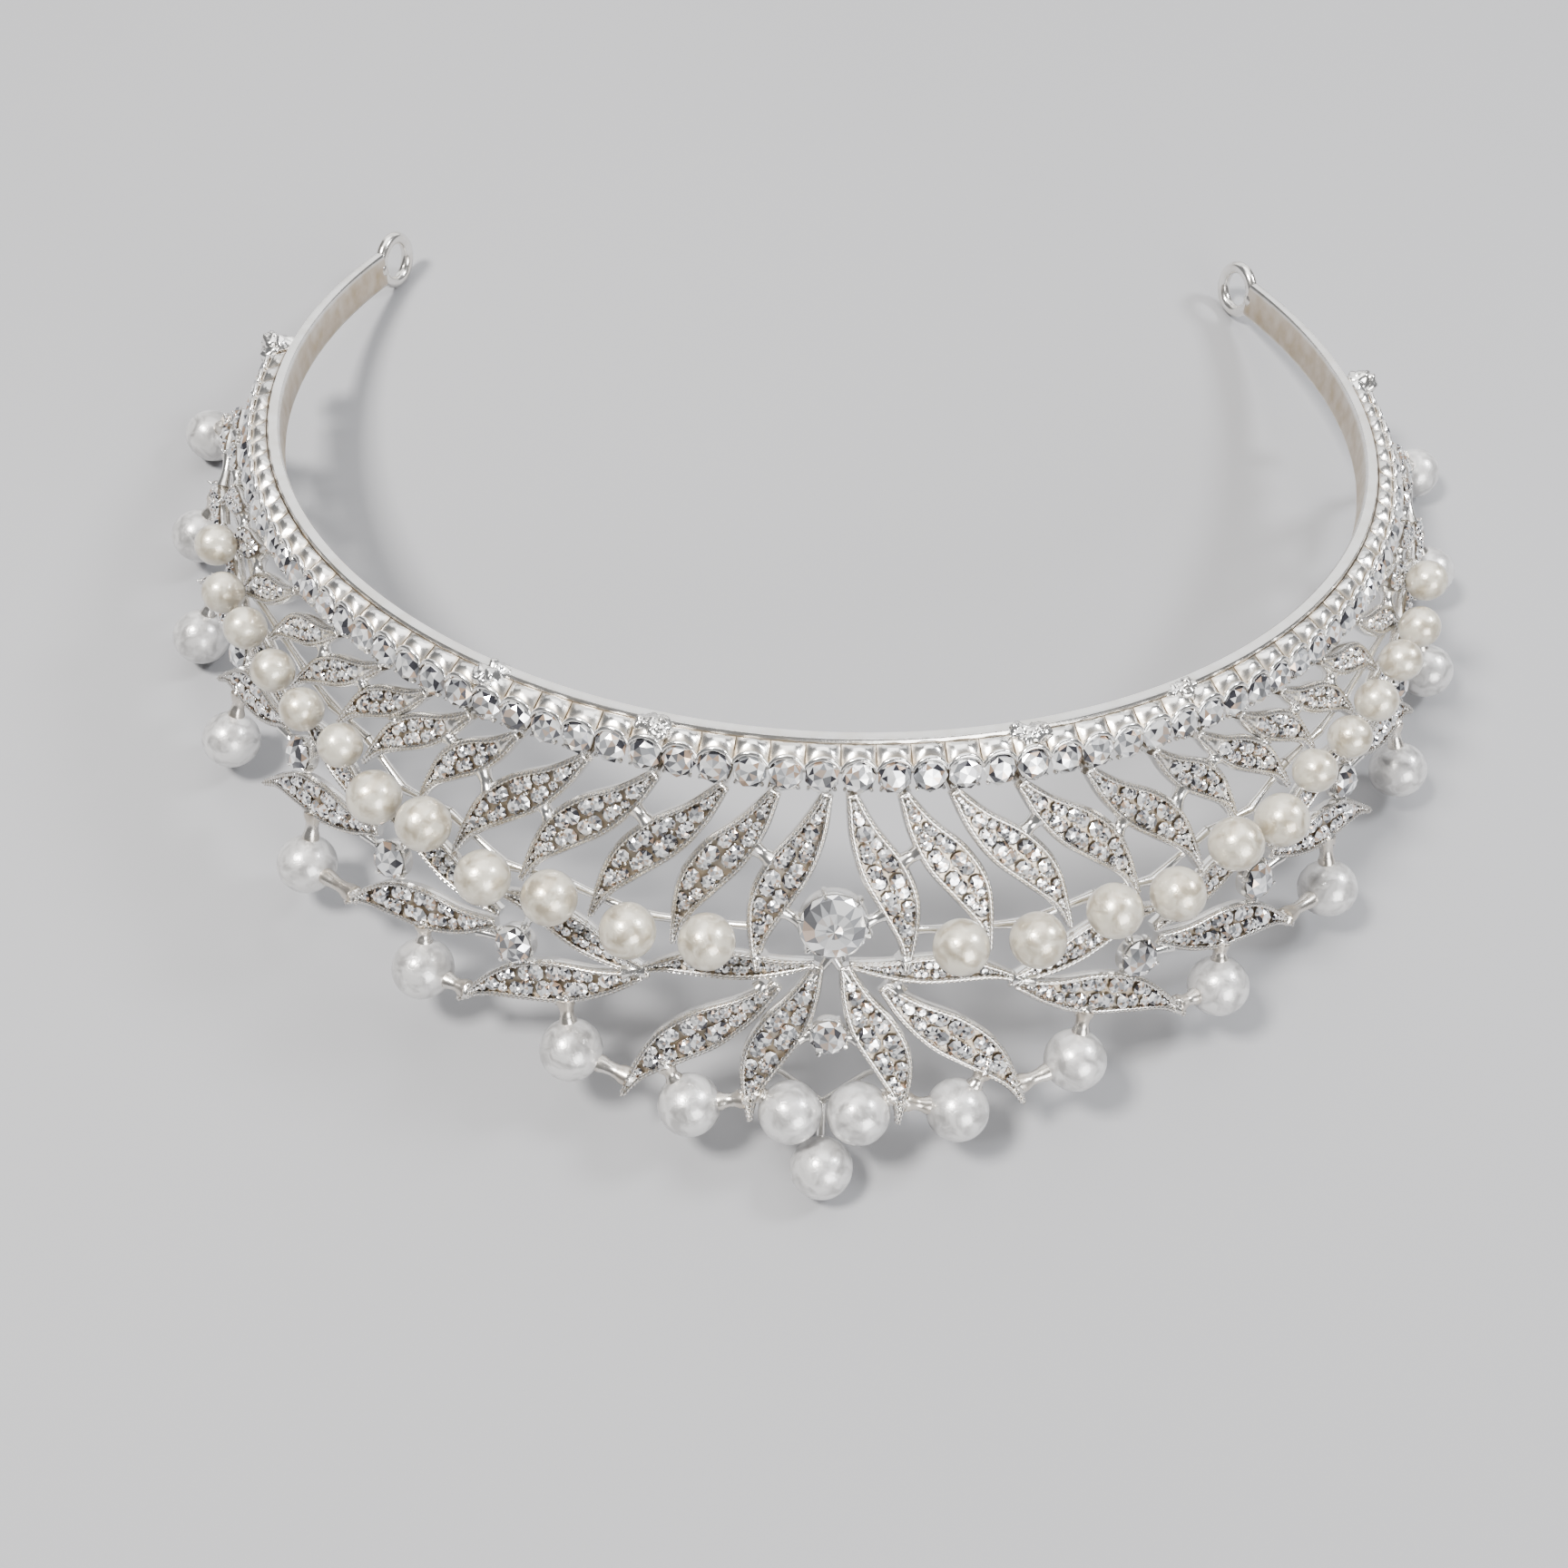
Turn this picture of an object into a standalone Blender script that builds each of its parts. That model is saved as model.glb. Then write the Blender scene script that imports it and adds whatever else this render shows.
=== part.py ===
"""Pearl tiara, lying upside down on its pearl rim.

The plain head band is an open curve seen from above. A pierced panel of leaves hangs from it and
flares outward. Rows of pearls follow the panel's lower rim and the middle of the panel, and a row
of small round stones in cups follows the band.

Shapes are worked out in the band's own frame, in millimetres: x right, y to the back, z up, with
the band's upper edge in the plane z = 0 and its front on x = 0. An empty then tilts the whole
object, so that it stands on its apex pearl and its two last rim pearls, with the floor at z = 0.
"""
import bpy
import bmesh
from math import atan2, cos, pi, radians, sin, tan
from mathutils import Matrix, Vector

MM = 0.001
WELD = 0.000001

# Band: plan curve (coefficients of the sine and cosine terms), section and ends
BAND_ACROSS = (70.4, 0.65)
BAND_DEEP = (72.5, -1.86, 1.08)
BAND_THICK = 1.6
BAND_TALL = 4.8
BAND_END = 115.4
BAND_FACETS = 37
END_RING_ANGLE = 118.0
END_RING_RADIUS = 3.2
END_RING_WIRE = 1.5
END_RING_STEPS = 12
END_RING_SIDES = 5

# Panel: it starts beside the band and leans out by the flare, which changes along the band
PANEL_OFFSET = 3.0
FLARE = (24.2, -10.1, 20.5)
FLARE_SPAN = 86.0

# Leaves
LEAF_THICK = 1.1
LEAF_SWAY = 0.32
# along: share of the length; wide: share of the half width; sway: share of the sideways bend
LEAF_PROFILE = (
    # along, wide, sway
    (0.00, 0.20, 0.00),
    (0.20, 0.64, 0.08),
    (0.42, 1.00, 0.60),
    (0.64, 0.88, 1.00),
    (0.84, 0.44, 0.78),
    (1.00, 0.08, 0.00),
)
# a wide leaf has a trough, whose depth is a share of the leaf's own half thickness
TROUGH_FROM_WIDTH = 4.7
TROUGH_DEPTH = 0.7
# a narrow leaf leaves out this row of the profile
NARROW_LEAF = 4.5
NARROW_SKIPS = 4
# angle in degrees along the band, drop in mm below it, from the root to the tip
UPPER_LEAVES = (
    # root angle, root drop, tip angle, tip drop, width
    (0.9, 4.9, 5.2, 22.2, 4.9),
    (4.7, 4.9, 11.2, 20.6, 4.9),
    (8.5, 4.9, 17.4, 19.8, 4.9),
    (13.7, 4.9, 23.1, 18.4, 4.9),
    (19.3, 4.9, 29.0, 18.4, 4.8),
    (25.2, 4.9, 32.8, 14.6, 4.1),
    (29.6, 4.9, 39.2, 14.8, 4.1),
    (34.2, 4.9, 42.9, 12.8, 3.8),
    (39.4, 4.9, 49.9, 13.6, 3.8),
    (45.4, 4.9, 54.9, 11.4, 3.8),
    (52.8, 4.9, 63.4, 12.8, 3.8),
    (59.9, 4.9, 69.0, 10.9, 3.7),
    (66.9, 4.9, 75.4, 10.0, 3.6),
    (73.9, 4.9, 81.4, 7.8, 3.2),
    (80.9, 4.9, 87.2, 6.6, 3.0),
)
LOWER_LEAVES = (
    # root angle, root drop, tip angle, tip drop, width
    (0.9, 21.4, 4.9, 38.6, 5.1),
    (3.6, 23.6, 13.6, 38.2, 5.1),
    (13.2, 24.8, 26.6, 34.0, 5.1),
    (24.6, 24.2, 38.2, 30.9, 5.0),
    (36.4, 21.0, 50.6, 26.3, 4.8),
    (49.2, 17.6, 62.0, 22.6, 4.6),
    (60.4, 14.8, 73.0, 19.0, 4.4),
    (71.4, 11.0, 82.2, 12.6, 3.6),
    (81.0, 8.2, 90.0, 9.2, 3.0),
)
COMPANION_LEAVES = (
    # root angle, root drop, tip angle, tip drop, width
    (1.2, 21.2, 13.8, 24.6, 3.4),
    (12.6, 24.4, 25.6, 20.8, 3.8),
    (24.4, 22.8, 36.8, 18.6, 3.8),
    (36.0, 19.6, 49.4, 15.6, 3.6),
    (48.6, 16.4, 61.0, 12.8, 3.4),
    (60.0, 13.6, 72.4, 10.2, 3.2),
)

# Pearls
RIM_PEARL = 7.0
RIM_ROW = (
    # angle, drop
    (2.28, 37.6),
    (9.0, 38.0),
    (17.6, 35.0),
    (30.1, 33.0),
    (43.4, 30.6),
    (57.6, 26.9),
    (69.0, 23.1),
    (79.0, 17.5),
    (91.6, 13.4),
)
APEX_DROP = 43.8
INNER_ROW = (
    # angle, drop, diameter
    (8.5, 18.4, 6.0),
    (13.9, 18.8, 6.0),
    (19.7, 17.6, 6.0),
    (24.9, 18.0, 6.0),
    (30.4, 15.3, 6.0),
    (35.2, 15.4, 6.0),
    (39.9, 12.8, 5.0),
    (45.0, 12.3, 5.0),
    (49.8, 11.3, 5.0),
    (55.4, 10.5, 5.0),
    (61.0, 10.6, 5.0),
    (65.6, 8.2, 5.0),
)
PEARL_SIDES = 10
PEARL_RINGS = 5

# Stones
ROW_COUNT = 33
ROW_PITCH = 3.6
ROW_OFFSET = 4.0
ROW_DROP = 2.55
ROW_LEAN = 27.0
ROW_STEP = 0.02
CUP_OVERLAP = 0.12
# share: share of the cup's radius; height: along the cup's axis, from its back to the stone's table
CUP_PROFILE = (
    # share, height
    (0.74, -1.0),
    (1.00, 0.3),
    (0.54, 1.1),
)
CENTRE_STONE = (0.0, 17.0, 7.6)
LOWER_STONE = (0.0, 28.8, 4.2)
SIDE_STONES = (
    # angle, drop, diameter
    (22.8, 25.4, 4.6),
    (34.5, 22.9, 4.6),
    (46.6, 19.2, 4.4),
    (59.0, 16.4, 4.2),
    (71.0, 12.2, 4.0),
)
STONE_SIDES = 10
CUP_SIDES = 8
GIRDLE_RISE = 0.4
CENTRE_LOW = 0.3
CENTRE_RISE = 0.6
# shares of a stone's radius: its height above the girdle, its table and its foot
CROWN_SHARE = 0.36
TABLE_SHARE = 0.58
FOOT_SHARE = 0.36

# Wires and joints
GAP = 0.3
OPEN_RING_WALL = 1.0
POST_WIRE = 0.9
RAIL_WIRE = 0.8
APEX_WIRE = 1.1
# the apex wire starts at this drop; a notch wire runs to it from each bottom leaf, through a bend
APEX_FROM = 38.6
NOTCH_FROM = 0.66
NOTCH_BEND = (3.0, 35.2, -3.9)
NOTCH_END = (0.1, 39.2)
# leaves where the wire behind the inner pearls starts and ends: number, along
RAIL_FROM = (1, 0.78)
RAIL_TO = (13, 0.80)
# stem: where a leaf's root runs into the band
STEM_DROP = 4.5
STEM_TALL = 0.5
STEM_WIDE = 1.0
BLOB = 1.9
BLOB_CUT = 1.2

# Each rim pearl is held by one or two posts, which start inside a lower leaf at a share of its length
RIM_POSTS = (
    # pearl, leaf, along
    (1, 1, 0.84),
    (2, 1, 0.90),
    (2, 2, 0.72),
    (3, 2, 0.92),
    (3, 3, 0.42),
    (4, 3, 0.95),
    (4, 4, 0.46),
    (5, 4, 0.95),
    (5, 5, 0.54),
    (6, 6, 0.70),
    (7, 7, 0.72),
    (8, 8, 0.72),
    (9, 9, 0.92),
)
BRIDGES = (
    # leaf, along, leaf, along
    (("upper", 1), 0.42, ("upper", 2), 0.32),
    (("upper", 3), 0.42, ("upper", 4), 0.22),
    (("upper", 4), 0.64, ("upper", 5), 0.38),
    (("upper", 5), 0.60, ("upper", 6), 0.42),
    (("upper", 6), 0.52, ("upper", 7), 0.24),
    (("upper", 7), 0.60, ("upper", 8), 0.36),
    (("upper", 8), 0.62, ("upper", 9), 0.24),
    (("upper", 9), 0.58, ("upper", 10), 0.24),
    (("upper", 11), 0.64, ("upper", 12), 0.22),
    (("upper", 12), 0.64, ("upper", 13), 0.14),
    (("upper", 13), 0.64, ("upper", 14), 0.14),
    (("upper", 14), 0.72, ("upper", 15), 0.14),
    (("upper", 1), 0.90, ("companion", 1), 0.30),
    (("companion", 1), 0.26, ("lower", 2), 0.08),
    (("companion", 1), 0.92, ("lower", 3), 0.08),
    (("upper", 14), 0.90, ("lower", 8), 0.60),
    (("upper", 15), 0.90, ("lower", 9), 0.50),
)
# Each ring of the middle line is joined to the first leaves of a kind, at a share of their length
RING_JOINTS = (
    # stone, kind, along
    (CENTRE_STONE, "upper", 0.66),
    (LOWER_STONE, "lower", 0.44),
)
ROOT_JOINT = 0.10
# How far in front of the panel's middle surface the apex wire lies: behind the pearls
APEX_BEHIND = -(RIM_PEARL / 2 + GAP + APEX_WIRE / 2)
# Each side stone's seat is tied to a leaf of the kind, numbered from the seat's own number
SEAT_TIES = (
    # kind, step, along
    ("lower", 3, 0.12),
    ("companion", 1, 0.72),
)
# solder lumps: angle, distance out from the band's inner edge, drop
SOLDER_BLOBS = (
    # angle, out, drop
    (15.0, 0.8, 0.4),
    (29.5, 0.8, 0.4),
    (94.0, 2.4, 2.4),
)


def band_curve(angle):
    """Point of the band's upper inner edge and the outward direction there."""
    turn = radians(angle)
    x = sum(size * sin((2 * k + 1) * turn) for k, size in enumerate(BAND_ACROSS))
    y = sum(size * (1 - cos((k + 1) * turn)) for k, size in enumerate(BAND_DEEP))
    along_x = sum(size * (2 * k + 1) * cos((2 * k + 1) * turn) for k, size in enumerate(BAND_ACROSS))
    along_y = sum(size * (k + 1) * sin((k + 1) * turn) for k, size in enumerate(BAND_DEEP))
    return Vector((x, y, 0)), Vector((along_y, -along_x, 0)).normalized()


def flare(angle):
    """Lean of the panel from the vertical, in radians."""
    share = (angle / FLARE_SPAN) ** 2
    return radians(FLARE[0] + FLARE[1] * share + FLARE[2] * share * share)


def panel(angle, drop, proud=0.0):
    """Point of the panel's middle surface, raised by proud along its outer normal."""
    point, outward = band_curve(angle)
    lean = flare(angle)
    out = PANEL_OFFSET + drop * tan(lean) + proud * cos(lean)
    return point + outward * out + Vector((0, 0, proud * sin(lean) - drop))


def panel_normal(angle, drop):
    return (panel(angle, drop, 1.0) - panel(angle, drop)).normalized()


def aim(direction):
    """Rotation that turns the z axis to a direction."""
    return direction.to_track_quat("Z", "Y").to_matrix().to_4x4()


def rest_tilt():
    """Tilt that puts the apex pearl and the last rim pearls at the same height."""
    first = panel(0.0, APEX_DROP)
    last = panel(*RIM_ROW[-1])
    return -atan2(last.z - first.z, last.y - first.y)


def material(name, colour, rough, metallic):
    made = bpy.data.materials.new(name)
    made.use_nodes = True
    shader = made.node_tree.nodes["Principled BSDF"]
    shader.inputs["Base Color"].default_value = (*colour, 1.0)
    shader.inputs["Roughness"].default_value = rough
    shader.inputs["Metallic"].default_value = metallic
    return made


def add_object(name, mesh, collection, finish=None):
    made = bpy.data.objects.new(name, mesh)
    collection.objects.link(made)
    if finish:
        mesh.materials.append(finish)
    return made


def guide(made):
    """Mark an object that only joins into another one."""
    made.hide_render = True
    made.display_type = "WIRE"
    return made


def mesh_from(name, bm):
    bmesh.ops.recalc_face_normals(bm, faces=bm.faces)
    mesh = bpy.data.meshes.new(name)
    bm.to_mesh(mesh)
    bm.free()
    return mesh


def loft(name, sections, cyclic=False):
    """Closed solid through sections that have the same number of points, in millimetres."""
    bm = bmesh.new()
    rings = [[bm.verts.new(point * MM) for point in section] for section in sections]
    count = len(rings[0])
    for near, far in zip(rings, rings[1:] + rings[:1] if cyclic else rings[1:]):
        for k in range(count):
            bm.faces.new((near[k], near[(k + 1) % count], far[(k + 1) % count], far[k]))
    if not cyclic:
        bm.faces.new(rings[0])
        bm.faces.new(rings[-1])
    return mesh_from(name, bm)


def turned(name, profile, sides, place):
    """Solid spun about z from (radius, height) points, then placed by a matrix, in millimetres."""
    bm = bmesh.new()
    verts = [bm.verts.new((radius, 0, height)) for radius, height in profile]
    edges = [bm.edges.new(pair) for pair in zip(verts, verts[1:])]
    if profile[0] == profile[-1]:
        bmesh.ops.remove_doubles(bm, verts=verts, dist=GAP / 2)
        verts, edges = list(bm.verts), list(bm.edges)
    bmesh.ops.spin(bm, geom=verts + edges, cent=(0, 0, 0), axis=(0, 0, 1), angle=2 * pi,
                   steps=sides, use_merge=True)
    bmesh.ops.holes_fill(bm, edges=bm.edges, sides=sides)
    flats_ahead = Matrix.Rotation(pi / sides, 4, "Z")
    bmesh.ops.transform(bm, matrix=Matrix.Scale(MM, 4) @ place @ flats_ahead, verts=bm.verts)
    return mesh_from(name, bm)


def wire(name, places, diameter):
    """Square wire through places, each a point and the way that a flat side faces there."""
    half = diameter / 2
    sections = []
    for k, (point, facing) in enumerate(places):
        before = places[max(k - 1, 0)][0]
        after = places[min(k + 1, len(places) - 1)][0]
        heading = (after - before).normalized()
        aside = heading.cross(facing).normalized() * half
        up = aside.cross(heading)
        sections.append((point - aside - up, point + aside - up, point + aside + up, point - aside + up))
    return loft(name, sections)


def on_panel(angle, drop):
    return panel(angle, drop), panel_normal(angle, drop)


def leaf_sway(along):
    """Share of the sideways bend, read from the leaf's profile."""
    for low, high in zip(LEAF_PROFILE, LEAF_PROFILE[1:]):
        if low[0] <= along <= high[0]:
            share = (along - low[0]) / (high[0] - low[0])
            return low[2] + (high[2] - low[2]) * share
    return 0.0


def leaf_middle(row, along):
    """Point on a leaf's bent middle line, with its normal and its sideways direction."""
    root_angle, root_drop, tip_angle, tip_drop, width = row
    angle = root_angle + (tip_angle - root_angle) * along
    drop = root_drop + (tip_drop - root_drop) * along
    normal = panel_normal(angle, drop)
    heading = panel(tip_angle, tip_drop) - panel(root_angle, root_drop)
    aside = heading.cross(normal).normalized() * (1 if tip_angle > 0 else -1)
    sway = leaf_sway(along) * LEAF_SWAY * width
    return panel(angle, drop) - aside * sway, normal, aside


def leaf(name, row, stem=False):
    """Pointed leaf; a wide one has a shallow trough, and a stem runs from the root to the band."""
    half_width = row[4] / 2
    half_thick = LEAF_THICK / 2
    sections = []
    for number, (along, wide, _) in enumerate(LEAF_PROFILE):
        if row[4] < NARROW_LEAF and number == NARROW_SKIPS:
            continue
        middle, normal, aside = leaf_middle(row, along)
        reach = aside * (half_width * wide)
        section = [
            middle - reach - normal * half_thick,
            middle + reach - normal * half_thick,
            middle + reach + normal * half_thick,
            middle - reach + normal * half_thick,
        ]
        if row[4] > TROUGH_FROM_WIDTH:
            section.insert(3, middle + normal * (half_thick * (1 - TROUGH_DEPTH * wide)))
        sections.append(section)
    if stem:
        sections.insert(0, stem_section(row[0], row[4] > TROUGH_FROM_WIDTH))
    return loft(name, sections)


def stem_section(angle, trough):
    """Section of a leaf's stem inside the band, with a point more for a leaf that has a trough."""
    point, outward = band_curve(angle)
    middle = point + outward * (BAND_THICK / 2) - Vector((0, 0, STEM_DROP))
    aside = outward.cross(Vector((0, 0, 1))) * (STEM_WIDE / 2 * (1 if angle > 0 else -1))
    up = Vector((0, 0, STEM_TALL / 2))
    section = [middle - aside - up, middle + aside - up, middle + aside + up, middle - aside + up]
    if trough:
        section.insert(3, middle + up)
    return section


def on_side(row, side):
    """Leaf row for the right side (1) or the left side (-1)."""
    return (row[0] * side, row[1], row[2] * side, row[3], row[4])


def band_mesh():
    """Whole head band. An odd number of facets leaves a flat one across the front."""
    sections = []
    for k in range(BAND_FACETS + 1):
        point, outward = band_curve(BAND_END * (2 * k / BAND_FACETS - 1))
        below = Vector((0, 0, BAND_TALL))
        outside = point + outward * BAND_THICK
        sections.append((point, outside, outside - below, point - below))
    return loft("band", sections)


def end_ring(side):
    """Wire ring that closes an end of the band, in the plane of the strip."""
    centre, outward = band_curve(END_RING_ANGLE * side)
    centre = centre + outward * (BAND_THICK / 2) - Vector((0, 0, BAND_TALL / 2))
    ahead = outward.cross(Vector((0, 0, 1)))
    sections = []
    for k in range(END_RING_STEPS):
        turn = 2 * pi * k / END_RING_STEPS
        spoke = ahead * cos(turn) + Vector((0, 0, sin(turn)))
        around = [2 * pi * j / END_RING_SIDES for j in range(END_RING_SIDES)]
        middle = centre + spoke * END_RING_RADIUS
        sections.append([
            middle + (spoke * cos(t) + outward * sin(t)) * (END_RING_WIRE / 2) for t in around
        ])
    return loft("end ring", sections, cyclic=True)


def seat_place(angle, drop):
    return Matrix.Translation(panel(angle, drop)) @ aim(panel_normal(angle, drop))


def seat(name, angle, drop, diameter):
    """Disc under a side stone, as thick as the leaves."""
    half = LEAF_THICK / 2
    radius = diameter / 2
    return turned(name, ((radius, -half), (radius, half)), CUP_SIDES, seat_place(angle, drop))


def open_ring(name, angle, drop, diameter):
    """Open ring under a stone of the middle line, whose hole takes the stone's point."""
    half = LEAF_THICK / 2
    outer = diameter / 2
    inner = outer - OPEN_RING_WALL
    profile = ((inner, -half), (outer, -half), (outer, half), (inner, half), (inner, -half))
    return turned(name, profile, STONE_SIDES, seat_place(angle, drop))


def solder_blob(angle, out, drop):
    point, outward = band_curve(angle)
    centre = point + outward * out - Vector((0, 0, drop))
    lats = (-BLOB_CUT, 0.0, BLOB_CUT)
    profile = tuple((BLOB / 2 * cos(t), BLOB / 2 * sin(t)) for t in lats)
    return turned("blob", profile, CUP_SIDES, Matrix.Translation(centre))


def side_leaves(side):
    leaves = {}
    for kind, rows in (("upper", UPPER_LEAVES), ("lower", LOWER_LEAVES), ("companion", COMPANION_LEAVES)):
        for number, row in enumerate(rows, 1):
            leaves[kind, number] = on_side(row, side)
    return leaves


def side_pieces(side):
    """Meshes of one side that are soldered to the band."""
    leaves = side_leaves(side)
    pieces = []
    for (kind, number), row in leaves.items():
        pieces.append(leaf(f"{kind} leaf {number}", row, stem=kind == "upper"))
    pieces.append(end_ring(side))

    rail = [leaf_middle(leaves["upper", RAIL_FROM[0]], RAIL_FROM[1])[:2]]
    rail.extend(on_panel(angle * side, drop) for angle, drop, _ in INNER_ROW)
    rail.append(leaf_middle(leaves["upper", RAIL_TO[0]], RAIL_TO[1])[:2])
    pieces.append(wire("pearl wire", rail, RAIL_WIRE))

    for pearl, number, along in RIM_POSTS:
        angle, drop = RIM_ROW[pearl - 1]
        centre = panel(angle * side, drop)
        foot, facing, _ = leaf_middle(leaves["lower", number], along)
        end = centre - (centre - foot).normalized() * (RIM_PEARL / 2 + GAP)
        pieces.append(wire(f"post {pearl}", [(foot, facing), (end, facing)], POST_WIRE))

    for number, (first, first_along, second, second_along) in enumerate(BRIDGES, 1):
        ends = [leaf_middle(leaves[first], first_along)[:2], leaf_middle(leaves[second], second_along)[:2]]
        pieces.append(wire(f"bridge {number}", ends, RAIL_WIRE))

    for number, (angle, drop, diameter) in enumerate(SIDE_STONES, 1):
        pieces.append(seat(f"seat {number}", angle * side, drop, diameter))
        for kind, step, along in SEAT_TIES:
            ends = [on_panel(angle * side, drop), leaf_middle(leaves[kind, number + step], along)[:2]]
            pieces.append(wire(f"seat tie {number}", ends, RAIL_WIRE))

    for (_, drop, diameter), kind, along in RING_JOINTS:
        middle, facing = on_panel(0.0, drop)
        edge = middle + Vector((side * (diameter - OPEN_RING_WALL) / 2, 0, 0))
        ends = [(edge, facing), leaf_middle(leaves[kind, 1], along)[:2]]
        pieces.append(wire("ring joint", ends, RAIL_WIRE))
    below_ring = on_panel(0.0, CENTRE_STONE[1] + (CENTRE_STONE[2] - OPEN_RING_WALL) / 2)
    root = leaf_middle(leaves["lower", 1], ROOT_JOINT)[:2]
    pieces.append(wire("root joint", [below_ring, root], RAIL_WIRE))

    angle, drop, proud = NOTCH_BEND
    notch = [
        leaf_middle(leaves["lower", 1], NOTCH_FROM)[:2],
        (panel(angle * side, drop, proud), panel_normal(angle * side, drop)),
        (panel(NOTCH_END[0] * side, NOTCH_END[1], APEX_BEHIND), panel_normal(0.0, NOTCH_END[1])),
    ]
    pieces.append(wire("notch wire", notch, RAIL_WIRE))

    for angle, out, drop in SOLDER_BLOBS:
        pieces.append(solder_blob(angle * side, out, drop))
    return pieces


def apex_wire():
    """Wire that runs behind the two lowest rim pearls and holds the apex pearl."""
    facing = panel_normal(0.0, APEX_DROP)
    route = [panel(0.0, drop, APEX_BEHIND) for drop in (APEX_FROM, APEX_DROP)]
    return wire("apex wire", [(point, facing) for point in route], APEX_WIRE)


def join_all(made, name, collection):
    """Union of an object with every object of a collection."""
    union = made.modifiers.new(name, "BOOLEAN")
    union.operation = "UNION"
    union.operand_type = "COLLECTION"
    union.collection = collection
    union.solver = "EXACT"
    weld = made.modifiers.new("weld", "WELD")
    weld.merge_threshold = WELD
    made.modifiers.new("even triangles", "TRIANGULATE")


def build_frame(parts, joined, finish):
    pieces = side_pieces(1) + side_pieces(-1)
    pieces.append(open_ring("centre ring", *CENTRE_STONE))
    pieces.append(open_ring("lower ring", *LOWER_STONE))
    pieces.append(apex_wire())
    for mesh in pieces:
        guide(add_object(mesh.name, mesh, joined))
    made = add_object("frame", band_mesh(), parts, finish)
    join_all(made, "solder", joined)


def row_point(angle):
    point, outward = band_curve(angle)
    return point + outward * ROW_OFFSET - Vector((0, 0, ROW_DROP))


def row_angles():
    """Angles of one side's cups, evenly spaced along the row's own curve."""
    angles = []
    travelled = 0.0
    angle = 0.0
    while len(angles) < ROW_COUNT:
        travelled += (row_point(angle + ROW_STEP) - row_point(angle)).length
        angle += ROW_STEP
        if travelled >= ROW_PITCH * (len(angles) + 0.5):
            angles.append(angle)
    return angles


def row_cup(angle):
    """One cup with its stone, turned as a single solid with flats towards its neighbours."""
    _, outward = band_curve(angle)
    lean = radians(ROW_LEAN)
    axis = outward * cos(lean) + Vector((0, 0, sin(lean)))
    sideways = Vector((0, 0, 1)).cross(outward)
    basis = Matrix((sideways, axis.cross(sideways), axis)).transposed().to_4x4()
    rim = (ROW_PITCH + CUP_OVERLAP) / 2 / cos(pi / CUP_SIDES)
    profile = tuple((rim * share, height) for share, height in CUP_PROFILE)
    return turned("cup", profile, CUP_SIDES, Matrix.Translation(row_point(angle)) @ basis)


def build_stone_row(parts, joined, finish):
    """Row of touching cups, joined into one body."""
    angles = [side * angle for side in (1, -1) for angle in row_angles()]
    made = add_object("stone_row", row_cup(angles[0]), parts, finish)
    for angle in angles[1:]:
        guide(add_object("cup", row_cup(angle), joined))
    join_all(made, "chain", joined)


def build_pearls(parts, finish):
    """Rim, apex and inner pearls, upright so that each stands on its lowest point."""
    spots = [("apex_pearl", panel(0.0, APEX_DROP), RIM_PEARL)]
    for word, side in (("right", 1), ("left", -1)):
        for number, (angle, drop) in enumerate(RIM_ROW, 1):
            spots.append((f"rim_pearl_{word}_{number}", panel(angle * side, drop), RIM_PEARL))
        for number, (angle, drop, diameter) in enumerate(INNER_ROW, 1):
            proud = LEAF_THICK / 2 + GAP + diameter / 2
            spots.append((f"inner_pearl_{word}_{number}", panel(angle * side, drop, proud), diameter))
    meshes = {}
    for name, point, diameter in spots:
        if diameter not in meshes:
            bm = bmesh.new()
            bmesh.ops.create_uvsphere(
                bm, u_segments=PEARL_SIDES, v_segments=PEARL_RINGS, radius=diameter / 2 * MM)
            meshes[diameter] = mesh_from("pearl", bm)
            meshes[diameter].shade_smooth()
            meshes[diameter].materials.append(finish)
        made = add_object(name, meshes[diameter], parts)
        made.location = point * MM
        made.rotation_euler = (-rest_tilt(), 0, 0)


def stone_mesh(name, angle, drop, diameter, sides, low, rise):
    """Cut stone from a low flat point, out to the girdle and in to the table."""
    radius = diameter / 2
    girdle = LEAF_THICK / 2 + GAP + rise
    table = girdle + CROWN_SHARE * radius
    profile = ((radius * FOOT_SHARE, low), (radius, girdle), (radius * TABLE_SHARE, table))
    return turned(name, profile, sides, seat_place(angle, drop))


def build_stones(parts, finish):
    """Single stones; the largest reaches into its open ring."""
    centre = stone_mesh("centre", *CENTRE_STONE, STONE_SIDES, CENTRE_LOW, CENTRE_RISE)
    add_object("centre_stone", centre, parts, finish)
    seat_top = LEAF_THICK / 2 + GAP
    lower = stone_mesh("lower", *LOWER_STONE, STONE_SIDES, seat_top, GIRDLE_RISE)
    add_object("lower_stone", lower, parts, finish)
    for word, side in (("right", 1), ("left", -1)):
        for number, (angle, drop, diameter) in enumerate(SIDE_STONES, 1):
            place = (angle * side, drop, diameter)
            mesh = stone_mesh("side", *place, CUP_SIDES, seat_top, GIRDLE_RISE)
            add_object(f"side_stone_{word}_{number}", mesh, parts, finish)


def stand_on_origin(rest, parts):
    """Move the empty until the middle of the object's footprint is at the origin."""
    bpy.context.view_layer.update()
    graph = bpy.context.evaluated_depsgraph_get()
    corners = []
    for made in parts.objects:
        seen = made.evaluated_get(graph)
        corners.extend(seen.matrix_world @ vert.co for vert in seen.to_mesh().vertices)
    for axis in range(3):
        values = [corner[axis] for corner in corners]
        middle = (min(values) + max(values)) / 2 if axis < 2 else min(values)
        rest.location[axis] -= middle


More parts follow.
